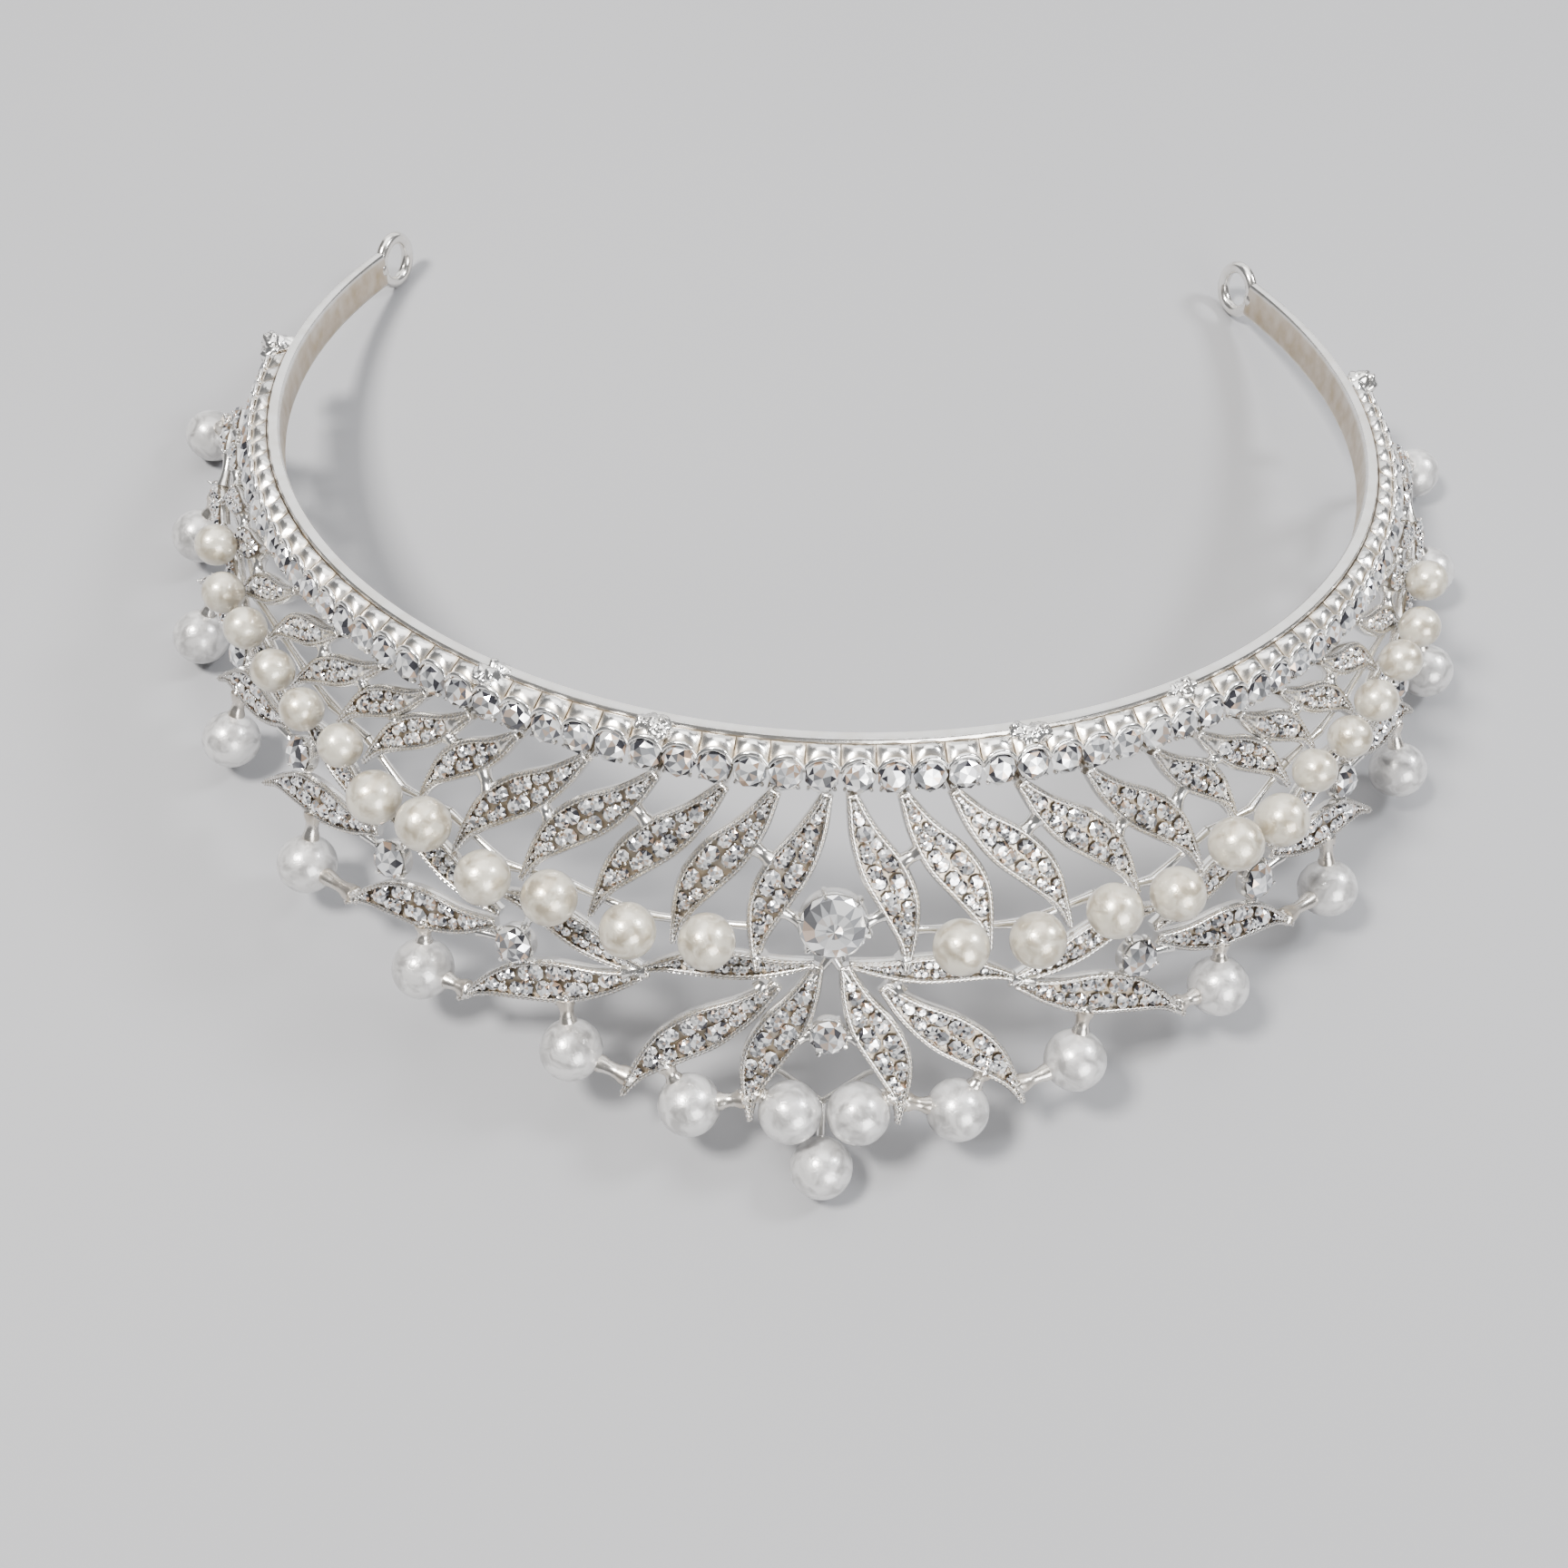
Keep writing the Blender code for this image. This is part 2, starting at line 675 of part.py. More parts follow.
def main():
    for old in list(bpy.data.objects):
        bpy.data.objects.remove(old)
    scene = bpy.context.scene
    parts = bpy.data.collections.new("pearl tiara")
    frame_joined = bpy.data.collections.new("frame pieces")
    row_joined = bpy.data.collections.new("row cups")
    for collection in (parts, frame_joined, row_joined):
        scene.collection.children.link(collection)

    silver = material("silver plate", (0.80, 0.78, 0.74), 0.22, 1.0)
    pearl = material("pearl", (0.86, 0.84, 0.79), 0.30, 0.0)
    crystal = material("crystal", (0.78, 0.79, 0.80), 0.06, 0.2)

    build_frame(parts, frame_joined, silver)
    build_stone_row(parts, row_joined, crystal)
    build_stones(parts, crystal)
    build_pearls(parts, pearl)

    rest = bpy.data.objects.new("rest", None)
    scene.collection.objects.link(rest)
    for made in list(parts.objects) + list(frame_joined.objects) + list(row_joined.objects):
        made.parent = rest
    rest.rotation_euler = (rest_tilt(), 0, 0)
    stand_on_origin(rest, parts)


main()
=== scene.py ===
"""Pearl tiara, lying upside down on its pearl rim: the finished look, set on the fixed frame."""
import random
from math import atan2, ceil, cos, pi, radians, sin, tan

import bmesh
import bpy
from mathutils import Matrix, Vector, noise


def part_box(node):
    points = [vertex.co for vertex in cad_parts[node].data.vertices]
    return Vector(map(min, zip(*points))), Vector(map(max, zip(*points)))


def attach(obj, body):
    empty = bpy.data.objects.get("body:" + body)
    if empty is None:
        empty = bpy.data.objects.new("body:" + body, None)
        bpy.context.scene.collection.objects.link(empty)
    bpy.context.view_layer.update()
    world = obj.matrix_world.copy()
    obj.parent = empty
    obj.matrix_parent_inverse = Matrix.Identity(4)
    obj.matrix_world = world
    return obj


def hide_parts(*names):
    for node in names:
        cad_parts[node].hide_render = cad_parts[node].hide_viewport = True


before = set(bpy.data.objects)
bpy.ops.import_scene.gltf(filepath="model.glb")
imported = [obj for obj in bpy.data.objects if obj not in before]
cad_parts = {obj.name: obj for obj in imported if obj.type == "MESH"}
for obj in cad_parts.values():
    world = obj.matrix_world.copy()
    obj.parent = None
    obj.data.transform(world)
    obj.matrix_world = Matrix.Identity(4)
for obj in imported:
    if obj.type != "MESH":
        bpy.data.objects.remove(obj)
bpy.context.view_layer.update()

# The head band. A cast strip with a flat upper edge, bent to the head and plated in bright silver
# over a warm base metal. The inner face and the hollows are coloured towards warm brown, partly the
# base metal where the plate is worn and partly painted shade. Everything else is soldered to it, so
# all the other pieces are measured from its curve, in millimetres.
MM = 0.001
BAND_ACROSS = (70.4, 0.65)
BAND_DEEP = (72.5, -1.86, 1.08)
BAND_THICK = 1.6
BAND_TALL = 4.8
BAND_END = 115.4
BAND_STEPS = 180
BAND_SECTION = (
    # out, down, recess
    (0.00, 4.30, 1.00),
    (0.00, 2.40, 1.00),
    (0.00, 0.70, 0.85),
    (0.06, 0.26, 0.10),
    (0.26, 0.05, 0.00),
    (0.80, 0.00, 0.00),
    (1.30, 0.05, 0.00),
    (1.52, 0.30, 0.35),
    (1.60, 0.95, 0.95),
    (1.42, 1.30, 0.90),
    (1.42, 3.90, 0.75),
    (1.60, 4.20, 0.40),
    (1.45, 4.72, 0.30),
    (0.80, 4.80, 0.30),
    (0.15, 4.72, 0.40),
)


def band_curve(angle):
    """Point of the band's upper inner edge and the outward direction there."""
    turn = radians(angle)
    x = sum(size * sin((2 * k + 1) * turn) for k, size in enumerate(BAND_ACROSS))
    y = sum(size * (1 - cos((k + 1) * turn)) for k, size in enumerate(BAND_DEEP))
    along_x = sum(size * (2 * k + 1) * cos((2 * k + 1) * turn) for k, size in enumerate(BAND_ACROSS))
    along_y = sum(size * (k + 1) * sin((k + 1) * turn) for k, size in enumerate(BAND_DEEP))
    return Vector((x, y, 0)), Vector((along_y, -along_x, 0)).normalized()


class Shape:
    """A piece in the making: points, faces, how deep in a recess each point lies, and face tints."""

    # a ball's least width, at its poles, and how closely the swells of an uneven one lie
    POLE = 0.02
    SWELLS = 1.6

    def __init__(self):
        self.points = []
        self.faces = []
        self.recess = []
        self.tints = []

    def loft(self, sections, recess, around=True, cyclic=False, deeper=None):
        """Skin over sections with equal numbers of points; recess has one value for each of them,
        and deeper has an amount for each section that is added to it."""
        first = len(self.points)
        count = len(sections[0])
        for k, section in enumerate(sections):
            more = deeper[k] if deeper else 0.0
            self.points.extend(section)
            self.recess.extend(min(max(deep + more, 0.0), 1.0) for deep in recess)
        rows = len(sections)
        for row in range(rows if cyclic else rows - 1):
            near = first + row * count
            far = first + (row + 1) % rows * count
            for k in range(count if around else count - 1):
                after = (k + 1) % count
                self.faces.append((near + k, near + after, far + after, far + k))
        if around and not cyclic:
            self.faces.append(tuple(first + k for k in reversed(range(count))))
            self.faces.append(tuple(first + (rows - 1) * count + k for k in range(count)))

    def tube(self, points, radii, sides=10, recess=0.0, cyclic=False, deeper=None):
        """Round wire through points, with a radius at each of them."""
        count = len(points)
        side = None
        sections = []
        for k, point in enumerate(points):
            before = points[k - 1] if cyclic or k else point
            after = points[(k + 1) % count] if cyclic or k < count - 1 else point
            heading = (after - before).normalized()
            if side is None:
                side = heading.orthogonal().normalized()
            side = (side - heading * side.dot(heading)).normalized()
            other = heading.cross(side)
            turns = [2 * pi * j / sides for j in range(sides)]
            sections.append([point + (side * cos(t) + other * sin(t)) * radii[k] for t in turns])
        self.loft(sections, [recess] * sides, cyclic=cyclic, deeper=deeper)

    def turned(self, place, profile, sides):
        """Turned about the z axis of a place; a closed profile has rows of radius, height and recess."""
        sections = []
        for k in range(sides):
            turn = 2 * pi * k / sides
            sections.append([place @ Vector((r * cos(turn), r * sin(turn), h)) for r, h, _ in profile])
        self.loft(sections, [deep for _, _, deep in profile], cyclic=True)

    def ball(self, centre, radius, sides, rings, recess=0.0, rough=0.0, seed=0.0):
        """Round bead with small flats for poles, or an uneven lump where rough is set, which is the
        share of the radius that comes and goes."""
        sections = []
        for k in range(sides):
            turn = 2 * pi * k / sides
            line = []
            for ring in range(rings + 1):
                lift = pi * (ring / rings - 0.5)
                level = max(cos(lift), self.POLE)
                way = Vector((cos(turn) * level, sin(turn) * level, sin(lift)))
                swell = rough * noise.noise(way * self.SWELLS + Vector((seed, 0, 0))) if rough else 0.0
                line.append(centre + way * radius * (1 + swell))
            sections.append(line)
        first, step = len(self.points), rings + 1
        self.loft(sections, [recess] * step, around=False, cyclic=True)
        for end in (0, rings):
            self.faces.append(tuple(first + k * step + end for k in range(sides)))

    def piece(self, name, finish, sharp=38.0):
        """Object of this shape, turned to the way that the tiara lies; sharp is in degrees."""
        mesh = bpy.data.meshes.new(name)
        mesh.from_pydata([tuple(point) for point in self.points], [], self.faces)
        mesh.transform(band_place)
        skin = bmesh.new()
        skin.from_mesh(mesh)
        bmesh.ops.recalc_face_normals(skin, faces=skin.faces)
        skin.to_mesh(mesh)
        skin.free()
        deep = mesh.attributes.new("recess", "FLOAT", "POINT")
        deep.data.foreach_set("value", self.recess)
        if self.tints:
            tint = mesh.attributes.new("tint", "FLOAT_COLOR", "CORNER")
            values = []
            for face, shade in zip(self.faces, self.tints):
                values.extend([*shade, 1.0] * len(face))
            tint.data.foreach_set("color", values)
        mesh.materials.append(finish.material)
        if sharp:
            mesh.shade_smooth()
            mesh.set_sharp_from_angle(angle=radians(sharp))
        mesh.validate()
        made = bpy.data.objects.new(name, mesh)
        bpy.context.scene.collection.objects.link(made)
        return made


class Signal:
    """One output in a material, so that sums and products of outputs read as plain maths."""

    def __init__(self, finish, socket):
        self.finish = finish
        self.socket = socket

    def math(self, operation, first, second):
        return self.finish.node("ShaderNodeMath", {"operation": operation}, {0: first, 1: second})

    def __add__(self, other):
        return self.math("ADD", self, other)

    def __mul__(self, other):
        return self.math("MULTIPLY", self, other)

    __radd__ = __add__
    __rmul__ = __mul__


class Finish:
    """A material around one Principled shader."""

    def __init__(self, name, **steady):
        self.material = bpy.data.materials.new(name)
        self.material.use_nodes = True
        self.tree = self.material.node_tree
        self.shader = self.tree.nodes["Principled BSDF"]
        self.set({key.replace("_", " ").title(): value for key, value in steady.items()})

    def set(self, values):
        for key, value in values.items():
            self.join(self.shader.inputs[key], value)

    def join(self, socket, value):
        if isinstance(value, Signal):
            self.tree.links.new(value.socket, socket)
        else:
            socket.default_value = value

    def node(self, kind, settings, inputs, out=0):
        made = self.tree.nodes.new(kind)
        for key, value in settings.items():
            if key == "stops":
                for _ in value[2:]:
                    made.color_ramp.elements.new(0.5)
                for stop, (spot, level) in zip(made.color_ramp.elements, value):
                    stop.position = spot
                    stop.color = (level, level, level, 1.0)
            else:
                setattr(made, key, value)
        for key, value in inputs.items():
            self.join(made.inputs[key], value)
        return Signal(self, made.outputs[out])

    def mix(self, factor, first, second):
        """Colour between two colours."""
        return self.node("ShaderNodeMix", {"data_type": "RGBA"}, {0: factor, 6: first, 7: second}, 2)

    def noise(self, scale, detail=3.0, distortion=0.0):
        """Cloudy noise whose scale counts the features in a metre."""
        spot = self.node("ShaderNodeTexCoord", {}, {}, "Object")
        sizes = {"Vector": spot, "Scale": scale, "Detail": detail, "Distortion": distortion}
        return self.node("ShaderNodeTexNoise", {}, sizes, "Fac")

    def attribute(self, name, out="Fac"):
        return self.node("ShaderNodeAttribute", {"attribute_name": name}, {}, out)

    def bump(self, height, strength, deep):
        sizes = {"Height": height, "Strength": strength, "Distance": deep}
        self.set({"Normal": self.node("ShaderNodeBump", {}, sizes)})


# the recess value mixes the plate towards a warm brown: partly base metal showing through worn plate,
# partly painted shade and painted reflection in hollows, grooves, seams and under parts
SILVER = (0.93, 0.92, 0.90, 1.0)
BARE_METAL_AND_SHADE = (0.36, 0.25, 0.12, 1.0)
TARNISH = (0.74, 0.70, 0.63, 1.0)
plate = Finish("silver plate", metallic=1.0)
bare_and_shade_mask = plate.attribute("recess")
clouds = plate.noise(420.0)
grain = plate.noise(2600.0, detail=2.0)
worn = plate.node("ShaderNodeValToRGB", {"stops": ((0.42, 0.0), (0.68, 1.0))}, {"Fac": clouds})
cool = plate.mix(worn * 0.55, SILVER, TARNISH)
plate.set({
    "Base Color": plate.mix(bare_and_shade_mask * (0.45 + 0.5 * clouds), cool, BARE_METAL_AND_SHADE),
    "Roughness": 0.13 + 0.12 * clouds + 0.20 * bare_and_shade_mask,
})
plate.bump(grain, strength=0.22, deep=0.00006)

# The panel hangs from the band and leans out by the flare, so that the tiara lies on its rim. The
# tilt puts the lowest pearl and the two last rim pearls on the table, as the real one lies.
PANEL_OFFSET = 3.0
FLARE = (24.2, -10.1, 20.5)
FLARE_SPAN = 86.0
RIM_ROW = (
    # angle, drop
    (2.28, 37.6),
    (9.0, 38.0),
    (17.6, 35.0),
    (30.1, 33.0),
    (43.4, 30.6),
    (57.6, 26.9),
    (69.0, 23.1),
    (79.0, 17.5),
    (91.6, 13.4),
)
APEX_DROP = 43.8


def panel(angle, drop, proud=0.0):
    """Point of the panel's middle surface, raised by proud along its outer normal."""
    point, outward = band_curve(angle)
    share = (angle / FLARE_SPAN) ** 2
    lean = radians(FLARE[0] + FLARE[1] * share + FLARE[2] * share * share)
    out = PANEL_OFFSET + drop * tan(lean) + proud * cos(lean)
    return point + outward * out + Vector((0, 0, proud * sin(lean) - drop))


def panel_normal(angle, drop):
    return (panel(angle, drop, 1.0) - panel(angle, drop)).normalized()


lowest, last = panel(0.0, APEX_DROP), panel(*RIM_ROW[-1])
band_tilt = Matrix.Rotation(-atan2(last.z - lowest.z, last.y - lowest.y), 4, "X")
apex_low, apex_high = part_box("apex_pearl")
apex_at = (apex_low + apex_high) / 2
band_place = Matrix.Translation(apex_at - band_tilt @ (lowest * MM)) @ band_tilt @ Matrix.Scale(MM, 4)

strip = Shape()
sections = []
for step in range(BAND_STEPS + 1):
    spot, outward = band_curve(BAND_END * (2 * step / BAND_STEPS - 1))
    sections.append([spot + outward * out - Vector((0, 0, down)) for out, down, _ in BAND_SECTION])
strip.loft(sections, [deep for _, _, deep in BAND_SECTION])
head_band = strip.piece("head_band", plate)
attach(head_band, "root")
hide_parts("frame")

# The end rings. Round wire bent into a loop and soldered across each end of the band, for a
# ribbon or an elastic, with a lump of solder where it meets the strip.
END_RING_ANGLE = 118.0
END_RING_RADIUS = 3.2
END_RING_WIRE = 1.7
END_RING_STEPS = 40
END_RING_RECESS = 0.12
# solder where the ring meets the strip
END_LUMP = 1.15
END_LUMP_OUT = 0.3
END_LUMP_RECESS = 0.3

for word, side in (("right", 1), ("left", -1)):
    loop = Shape()
    spot, outward = band_curve(END_RING_ANGLE * side)
    centre = spot + outward * (BAND_THICK / 2) - Vector((0, 0, BAND_TALL / 2))
    ahead = outward.cross(Vector((0, 0, 1))) * -side
    route = []
    for step in range(END_RING_STEPS):
        turn = 2 * pi * step / END_RING_STEPS
        route.append(centre + (ahead * cos(turn) + Vector((0, 0, sin(turn)))) * END_RING_RADIUS)
    radii = [END_RING_WIRE / 2] * END_RING_STEPS
    loop.tube(route, radii, sides=14, recess=END_RING_RECESS, cyclic=True)
    lump = centre - ahead * (END_RING_RADIUS + END_LUMP_OUT)
    loop.ball(lump, END_LUMP, sides=16, rings=10, recess=END_LUMP_RECESS)
    end_ring = loop.piece(f"end_ring_{word}", plate)
    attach(end_ring, "root")

# The leaves. Each is a cast tray with a flat floor and a thin upright wall, whose top is rolled
# with fine beading. The floor is coloured warm and dark, partly thin plate showing the base metal
# and partly painted shade and painted reflection between the walls. The upper leaves run up under
# the row of stones and are soldered to the band by a short stem.
LEAF_THICK = 1.1
LEAF_SWAY = 0.32
LEAF_WALL = 0.62
LEAF_RIM = 0.34
LEAF_STEPS = 26
# least width, as a share of the leaf's greatest, and least floor, as a share of the width there
LEAF_LEAST = 0.07
FLOOR_LEAST = 0.35
# how far the shoulder, the rim and the ledge of a wall lie below its top
SHOULDER_DOWN = 0.25
RIM_DOWN = 0.12
LEDGE_DOWN = 0.16
# a wall leans in a little towards the leaf's back
BACK_SHARE = 0.97
# the tongue's crown, how far it passes the plain share, the length of its fall, and how much of the
# floor's painted shade and bare metal it takes away
TONGUE_CROWN = 0.2
TONGUE_OVER = 0.05
TONGUE_FADE = 0.08
TONGUE_BRIGHT = 0.85
LEAF_PROFILE = (
    # along, wide, sway
    (0.00, 0.26, 0.00),
    (0.20, 0.64, 0.08),
    (0.42, 1.00, 0.60),
    (0.64, 0.88, 1.00),
    (0.84, 0.44, 0.78),
    (1.00, 0.08, 0.00),
)
# angle in degrees along the band, drop in mm below it, from the root to the tip; plain is the
# share of the leaf at its root that has no stones
LEAVES = {
    "upper": (
        # root angle, root drop, tip angle, tip drop, width, plain
        (0.9, 4.1, 5.2, 22.2, 4.9, 0.02),
        (4.7, 4.1, 11.2, 20.6, 4.9, 0.02),
        (8.5, 4.1, 17.4, 19.8, 4.9, 0.02),
        (13.7, 4.1, 23.1, 18.4, 4.9, 0.03),
        (19.3, 4.1, 29.0, 18.4, 4.8, 0.04),
        (25.2, 4.1, 32.8, 14.6, 4.1, 0.20),
        (29.6, 4.1, 39.2, 14.8, 4.1, 0.22),
        (34.2, 4.1, 42.9, 12.8, 3.8, 0.24),
        (39.4, 4.1, 49.9, 13.6, 3.8, 0.24),
        (45.4, 4.1, 54.9, 11.4, 3.8, 0.22),
        (52.8, 4.1, 63.4, 12.8, 3.8, 0.20),
        (59.9, 4.1, 69.0, 10.9, 3.7, 0.16),
        (66.9, 4.1, 75.4, 10.0, 3.6, 0.10),
        (73.9, 4.1, 81.4, 7.8, 3.2, 0.10),
        (80.9, 4.1, 87.2, 6.6, 3.0, 0.10),
    ),
    "lower": (
        # root angle, root drop, tip angle, tip drop, width, plain
        (0.9, 21.4, 4.9, 38.6, 5.1, 0.06),
        (3.6, 23.6, 13.6, 38.2, 5.1, 0.06),
        (13.2, 24.8, 26.6, 34.0, 5.1, 0.04),
        (24.6, 24.2, 38.2, 30.9, 5.0, 0.04),
        (36.4, 21.0, 50.6, 26.3, 4.8, 0.04),
        (49.2, 17.6, 62.0, 22.6, 4.6, 0.04),
        (60.4, 14.8, 73.0, 19.0, 4.4, 0.08),
        (71.4, 11.0, 82.2, 12.6, 3.6, 0.08),
        (81.0, 8.2, 90.0, 9.2, 3.0, 0.08),
    ),
    "companion": (
        # root angle, root drop, tip angle, tip drop, width, plain
        (1.2, 21.2, 13.8, 24.6, 3.4, 0.06),
        (12.6, 24.4, 25.6, 20.8, 3.8, 0.06),
        (24.4, 22.8, 36.8, 18.6, 3.8, 0.06),
        (36.0, 19.6, 49.4, 15.6, 3.6, 0.06),
        (48.6, 16.4, 61.0, 12.8, 3.4, 0.06),
        (60.0, 13.6, 72.4, 10.2, 3.2, 0.06),
    ),
}
STEM_DROP = 4.5
STEM_TO = 0.06
STEM_RADII = (0.675, 0.75)
BEAD_INSET = 0.17
BEAD_SUNK = 0.02
BEAD_PITCH = 0.60
BEAD_WIDE = 0.29
BEAD_NARROW = 0.15
# painted shade in the groove between two beads
BEAD_GROOVE_SHADE = 0.6
BEAD_SIDES = 6
BEADS_LEAST = 8
EDGE_STEPS = 60
# from this leaf of each kind onwards the stones cover the walls, which have no beading
SIDE_FROM = {"upper": 12, "lower": 7, "companion": 6}


def leaf_share(along, column):
    """Width or sway of a leaf at a share of its length, eased between the profile's rows."""
    rows = LEAF_PROFILE
    k = next(k for k in range(len(rows) - 1) if along <= rows[k + 1][0] + 1e-9)
    low, high = rows[k], rows[k + 1]
    gap = high[0] - low[0]
    ends = []
    for near in (k, k + 1):
        before, after = rows[max(near - 1, 0)], rows[min(near + 1, len(rows) - 1)]
        ends.append((after[column] - before[column]) / (after[0] - before[0]) * gap)
    t = (along - low[0]) / gap
    rise = low[column] * (1 - 3 * t * t + 2 * t ** 3) + high[column] * (3 * t * t - 2 * t ** 3)
    return rise + ends[0] * (t - 2 * t * t + t ** 3) + ends[1] * (t ** 3 - t * t)


class Leaf:
    """A leaf's bent middle line on the panel, its width and the directions across it."""

    def __init__(self, row, side):
        self.start = (row[0] * side, row[1])
        self.stop = (row[2] * side, row[3])
        self.half = row[4] / 2
        self.plain = row[5]
        self.side = side
        self.heading = panel(*self.stop) - panel(*self.start)
        self.long = self.heading.length

    def at(self, along):
        """Middle point, normal and sideways direction at a share of the length."""
        angle = self.start[0] + (self.stop[0] - self.start[0]) * along
        drop = self.start[1] + (self.stop[1] - self.start[1]) * along
        normal = panel_normal(angle, drop)
        aside = self.heading.cross(normal).normalized() * self.side
        sway = leaf_share(along, 2) * LEAF_SWAY * 2 * self.half
        return panel(angle, drop) - aside * sway, normal, aside

    def wide(self, along):
        return self.half * max(leaf_share(along, 1), LEAF_LEAST)

    def inner(self, along):
        """Half width of the floor between the walls."""
        return max(self.wide(along) - LEAF_WALL, self.wide(along) * FLOOR_LEAST)


def leaf_tray(shape, leaf):
    """Floor and wall of a leaf, with a plain raised tongue at its root."""
    top = LEAF_THICK / 2
    sections, brighter = [], []
    for step in range(LEAF_STEPS + 1):
        along = step / LEAF_STEPS
        middle, normal, aside = leaf.at(along)
        wide, inner = leaf.wide(along), leaf.inner(along)
        rim = wide - LEAF_RIM * (wide - inner) / LEAF_WALL
        edge = (wide + rim) / 2
        tongue = min(max((leaf.plain + TONGUE_OVER - along) / TONGUE_FADE, 0.0), 1.0)
        floor = (top - RIM_DOWN) * tongue
        spots = (
            # across, height, recess
            (-wide * BACK_SHARE, -top, 0.25),
            (-wide, top - SHOULDER_DOWN, 0.0),
            (-edge, top, 0.0),
            (-rim, top - RIM_DOWN, 0.5),
            (-inner, top - LEDGE_DOWN, 0.5),
            (-inner, floor, 0.85),
            (0.0, floor + TONGUE_CROWN * tongue, 1.0),
            (inner, floor, 0.85),
            (inner, top - LEDGE_DOWN, 0.5),
            (rim, top - RIM_DOWN, 0.5),
            (edge, top, 0.0),
            (wide, top - SHOULDER_DOWN, 0.0),
            (wide * BACK_SHARE, -top, 0.25),
            (0.0, -top, 0.5),
        )
        sections.append([middle + aside * across + normal * high for across, high, _ in spots])
        brighter.append(-TONGUE_BRIGHT * tongue)
    shape.loft(sections, [deep for _, _, deep in spots], deeper=brighter)


def leaf_beading(shape, leaf):
    """Beaded wire along the top of a leaf's wall, up one side, over the tip and down the other."""
    edge = []
    for sign in (1, -1):
        shares = [step / EDGE_STEPS for step in range(EDGE_STEPS + 1)]
        for along in shares if sign > 0 else shares[::-1]:
            middle, normal, aside = leaf.at(along)
            crest = leaf.inner(along) + BEAD_INSET * (leaf.wide(along) - leaf.inner(along)) / LEAF_WALL
            edge.append(middle + aside * (crest * sign) + normal * (LEAF_THICK / 2 - BEAD_SUNK))
    run = [0.0]
    for near, far in zip(edge, edge[1:]):
        run.append(run[-1] + (far - near).length)
    beads = max(ceil(run[-1] / BEAD_PITCH), BEADS_LEAST)
    points = []
    k = 0
    for step in range(2 * beads):
        travelled = run[-1] * step / (2 * beads)
        while run[k + 1] < travelled:
            k += 1
        share = (travelled - run[k]) / max(run[k + 1] - run[k], 1e-6)
        points.append(edge[k].lerp(edge[k + 1], share))
    radii = [BEAD_WIDE if k % 2 else BEAD_NARROW for k in range(len(points))]
    groove_shade = [0.0 if k % 2 else BEAD_GROOVE_SHADE for k in range(len(points))]
    shape.tube(points, radii, sides=BEAD_SIDES, cyclic=True, deeper=groove_shade)


leaves = {}
for word, side in (("right", 1), ("left", -1)):
    for kind, rows in LEAVES.items():
        trays = Shape()
        for number, row in enumerate(rows, 1):
            leaf = Leaf(row, side)
            leaves[kind, number, side] = leaf
            leaf_tray(trays, leaf)
            if kind == "upper":
                spot, outward = band_curve(leaf.start[0])
                inside = spot + outward * (BAND_THICK / 2) - Vector((0, 0, STEM_DROP))
                trays.tube([inside, leaf.at(STEM_TO)[0]], STEM_RADII)
        leaf_trays = trays.piece(f"{kind}_leaves_{word}", plate)
        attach(leaf_trays, "root")
        beading = Shape()
        for number in range(1, min(len(rows) + 1, SIDE_FROM[kind])):
            leaf_beading(beading, leaves[kind, number, side])
        leaf_beads = beading.piece(f"{kind}_beading_{word}", plate, sharp=80.0)
        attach(leaf_beads, "root")

# The fine stones. Small round glass stones with silvered backs, set close in the leaves in one or
# two rows and held by grains of metal between them. Each facet's colour is a painted glint of grey,
# white or brown, which stands in for the light it sends back from another part of the stone.
GLINTS = (
    # share, colour
    (0.34, (1.00, 1.00, 1.00)),
    (0.14, (0.66, 0.67, 0.69)),
    (0.16, (0.32, 0.33, 0.35)),
    (0.23, (0.05, 0.05, 0.06)),
    (0.13, (0.48, 0.34, 0.25)),
)
# painted grey that stands in for the light seen through clear glass
CLEAR_GLASS_GLINT = (0.80, 0.81, 0.82)
TABLE_LIFT = 0.03
FINE_FACETS = 8
FINE_RINGS = (
    # reach, height, clearness
    (1.00, 0.00, 0.0),
    (0.58, 0.40, 0.2),
)
# largest diameter of the stones in each kind of leaf
FINE_STONES = {"upper": 1.95, "lower": 2.20, "companion": 1.80}
FINE_FIRST = 0.5
FINE_LAST = 0.975
FINE_HEIGHT = 0.34
# radius, step to the next row and stagger within a row, as shares of a stone's room
FINE_RADIUS = (0.47, 0.54)
FINE_STEP = 0.90
FINE_STAGGER = 0.2
# how far a stone may sit aside, up or down, and lean
FINE_ASIDE = 0.05
FINE_UP = 0.06
FINE_LEAN = 0.2
GRAIN = 0.20
GRAIN_SIZES = (0.7, 1.1)
GRAIN_AHEAD = 0.45
GRAIN_UP = 0.10
# the stones that cover the walls lie higher and take more room
SIDE_RISE = 0.35
SIDE_SIZE = 1.25
STONE_SEED = 11

# the stones' base colour is each facet's painted glint
crystal = Finish("silvered glass", metallic=0.62, coat_weight=1.0, coat_roughness=0.02)
facet = crystal.attribute("tint", "Color")
smudge = crystal.noise(900.0)
crystal.set({"Base Color": facet, "Roughness": 0.05 + 0.08 * smudge})


def glint(draw, clear):
    """Painted glint of one facet, the closer to the painted grey of clear glass the higher clear is."""
    left = draw.random()
    for share, colour in GLINTS:
        left -= share
        if left <= 0:
            break
    return [own + (glass - own) * clear for own, glass in zip(colour, CLEAR_GLASS_GLINT)]


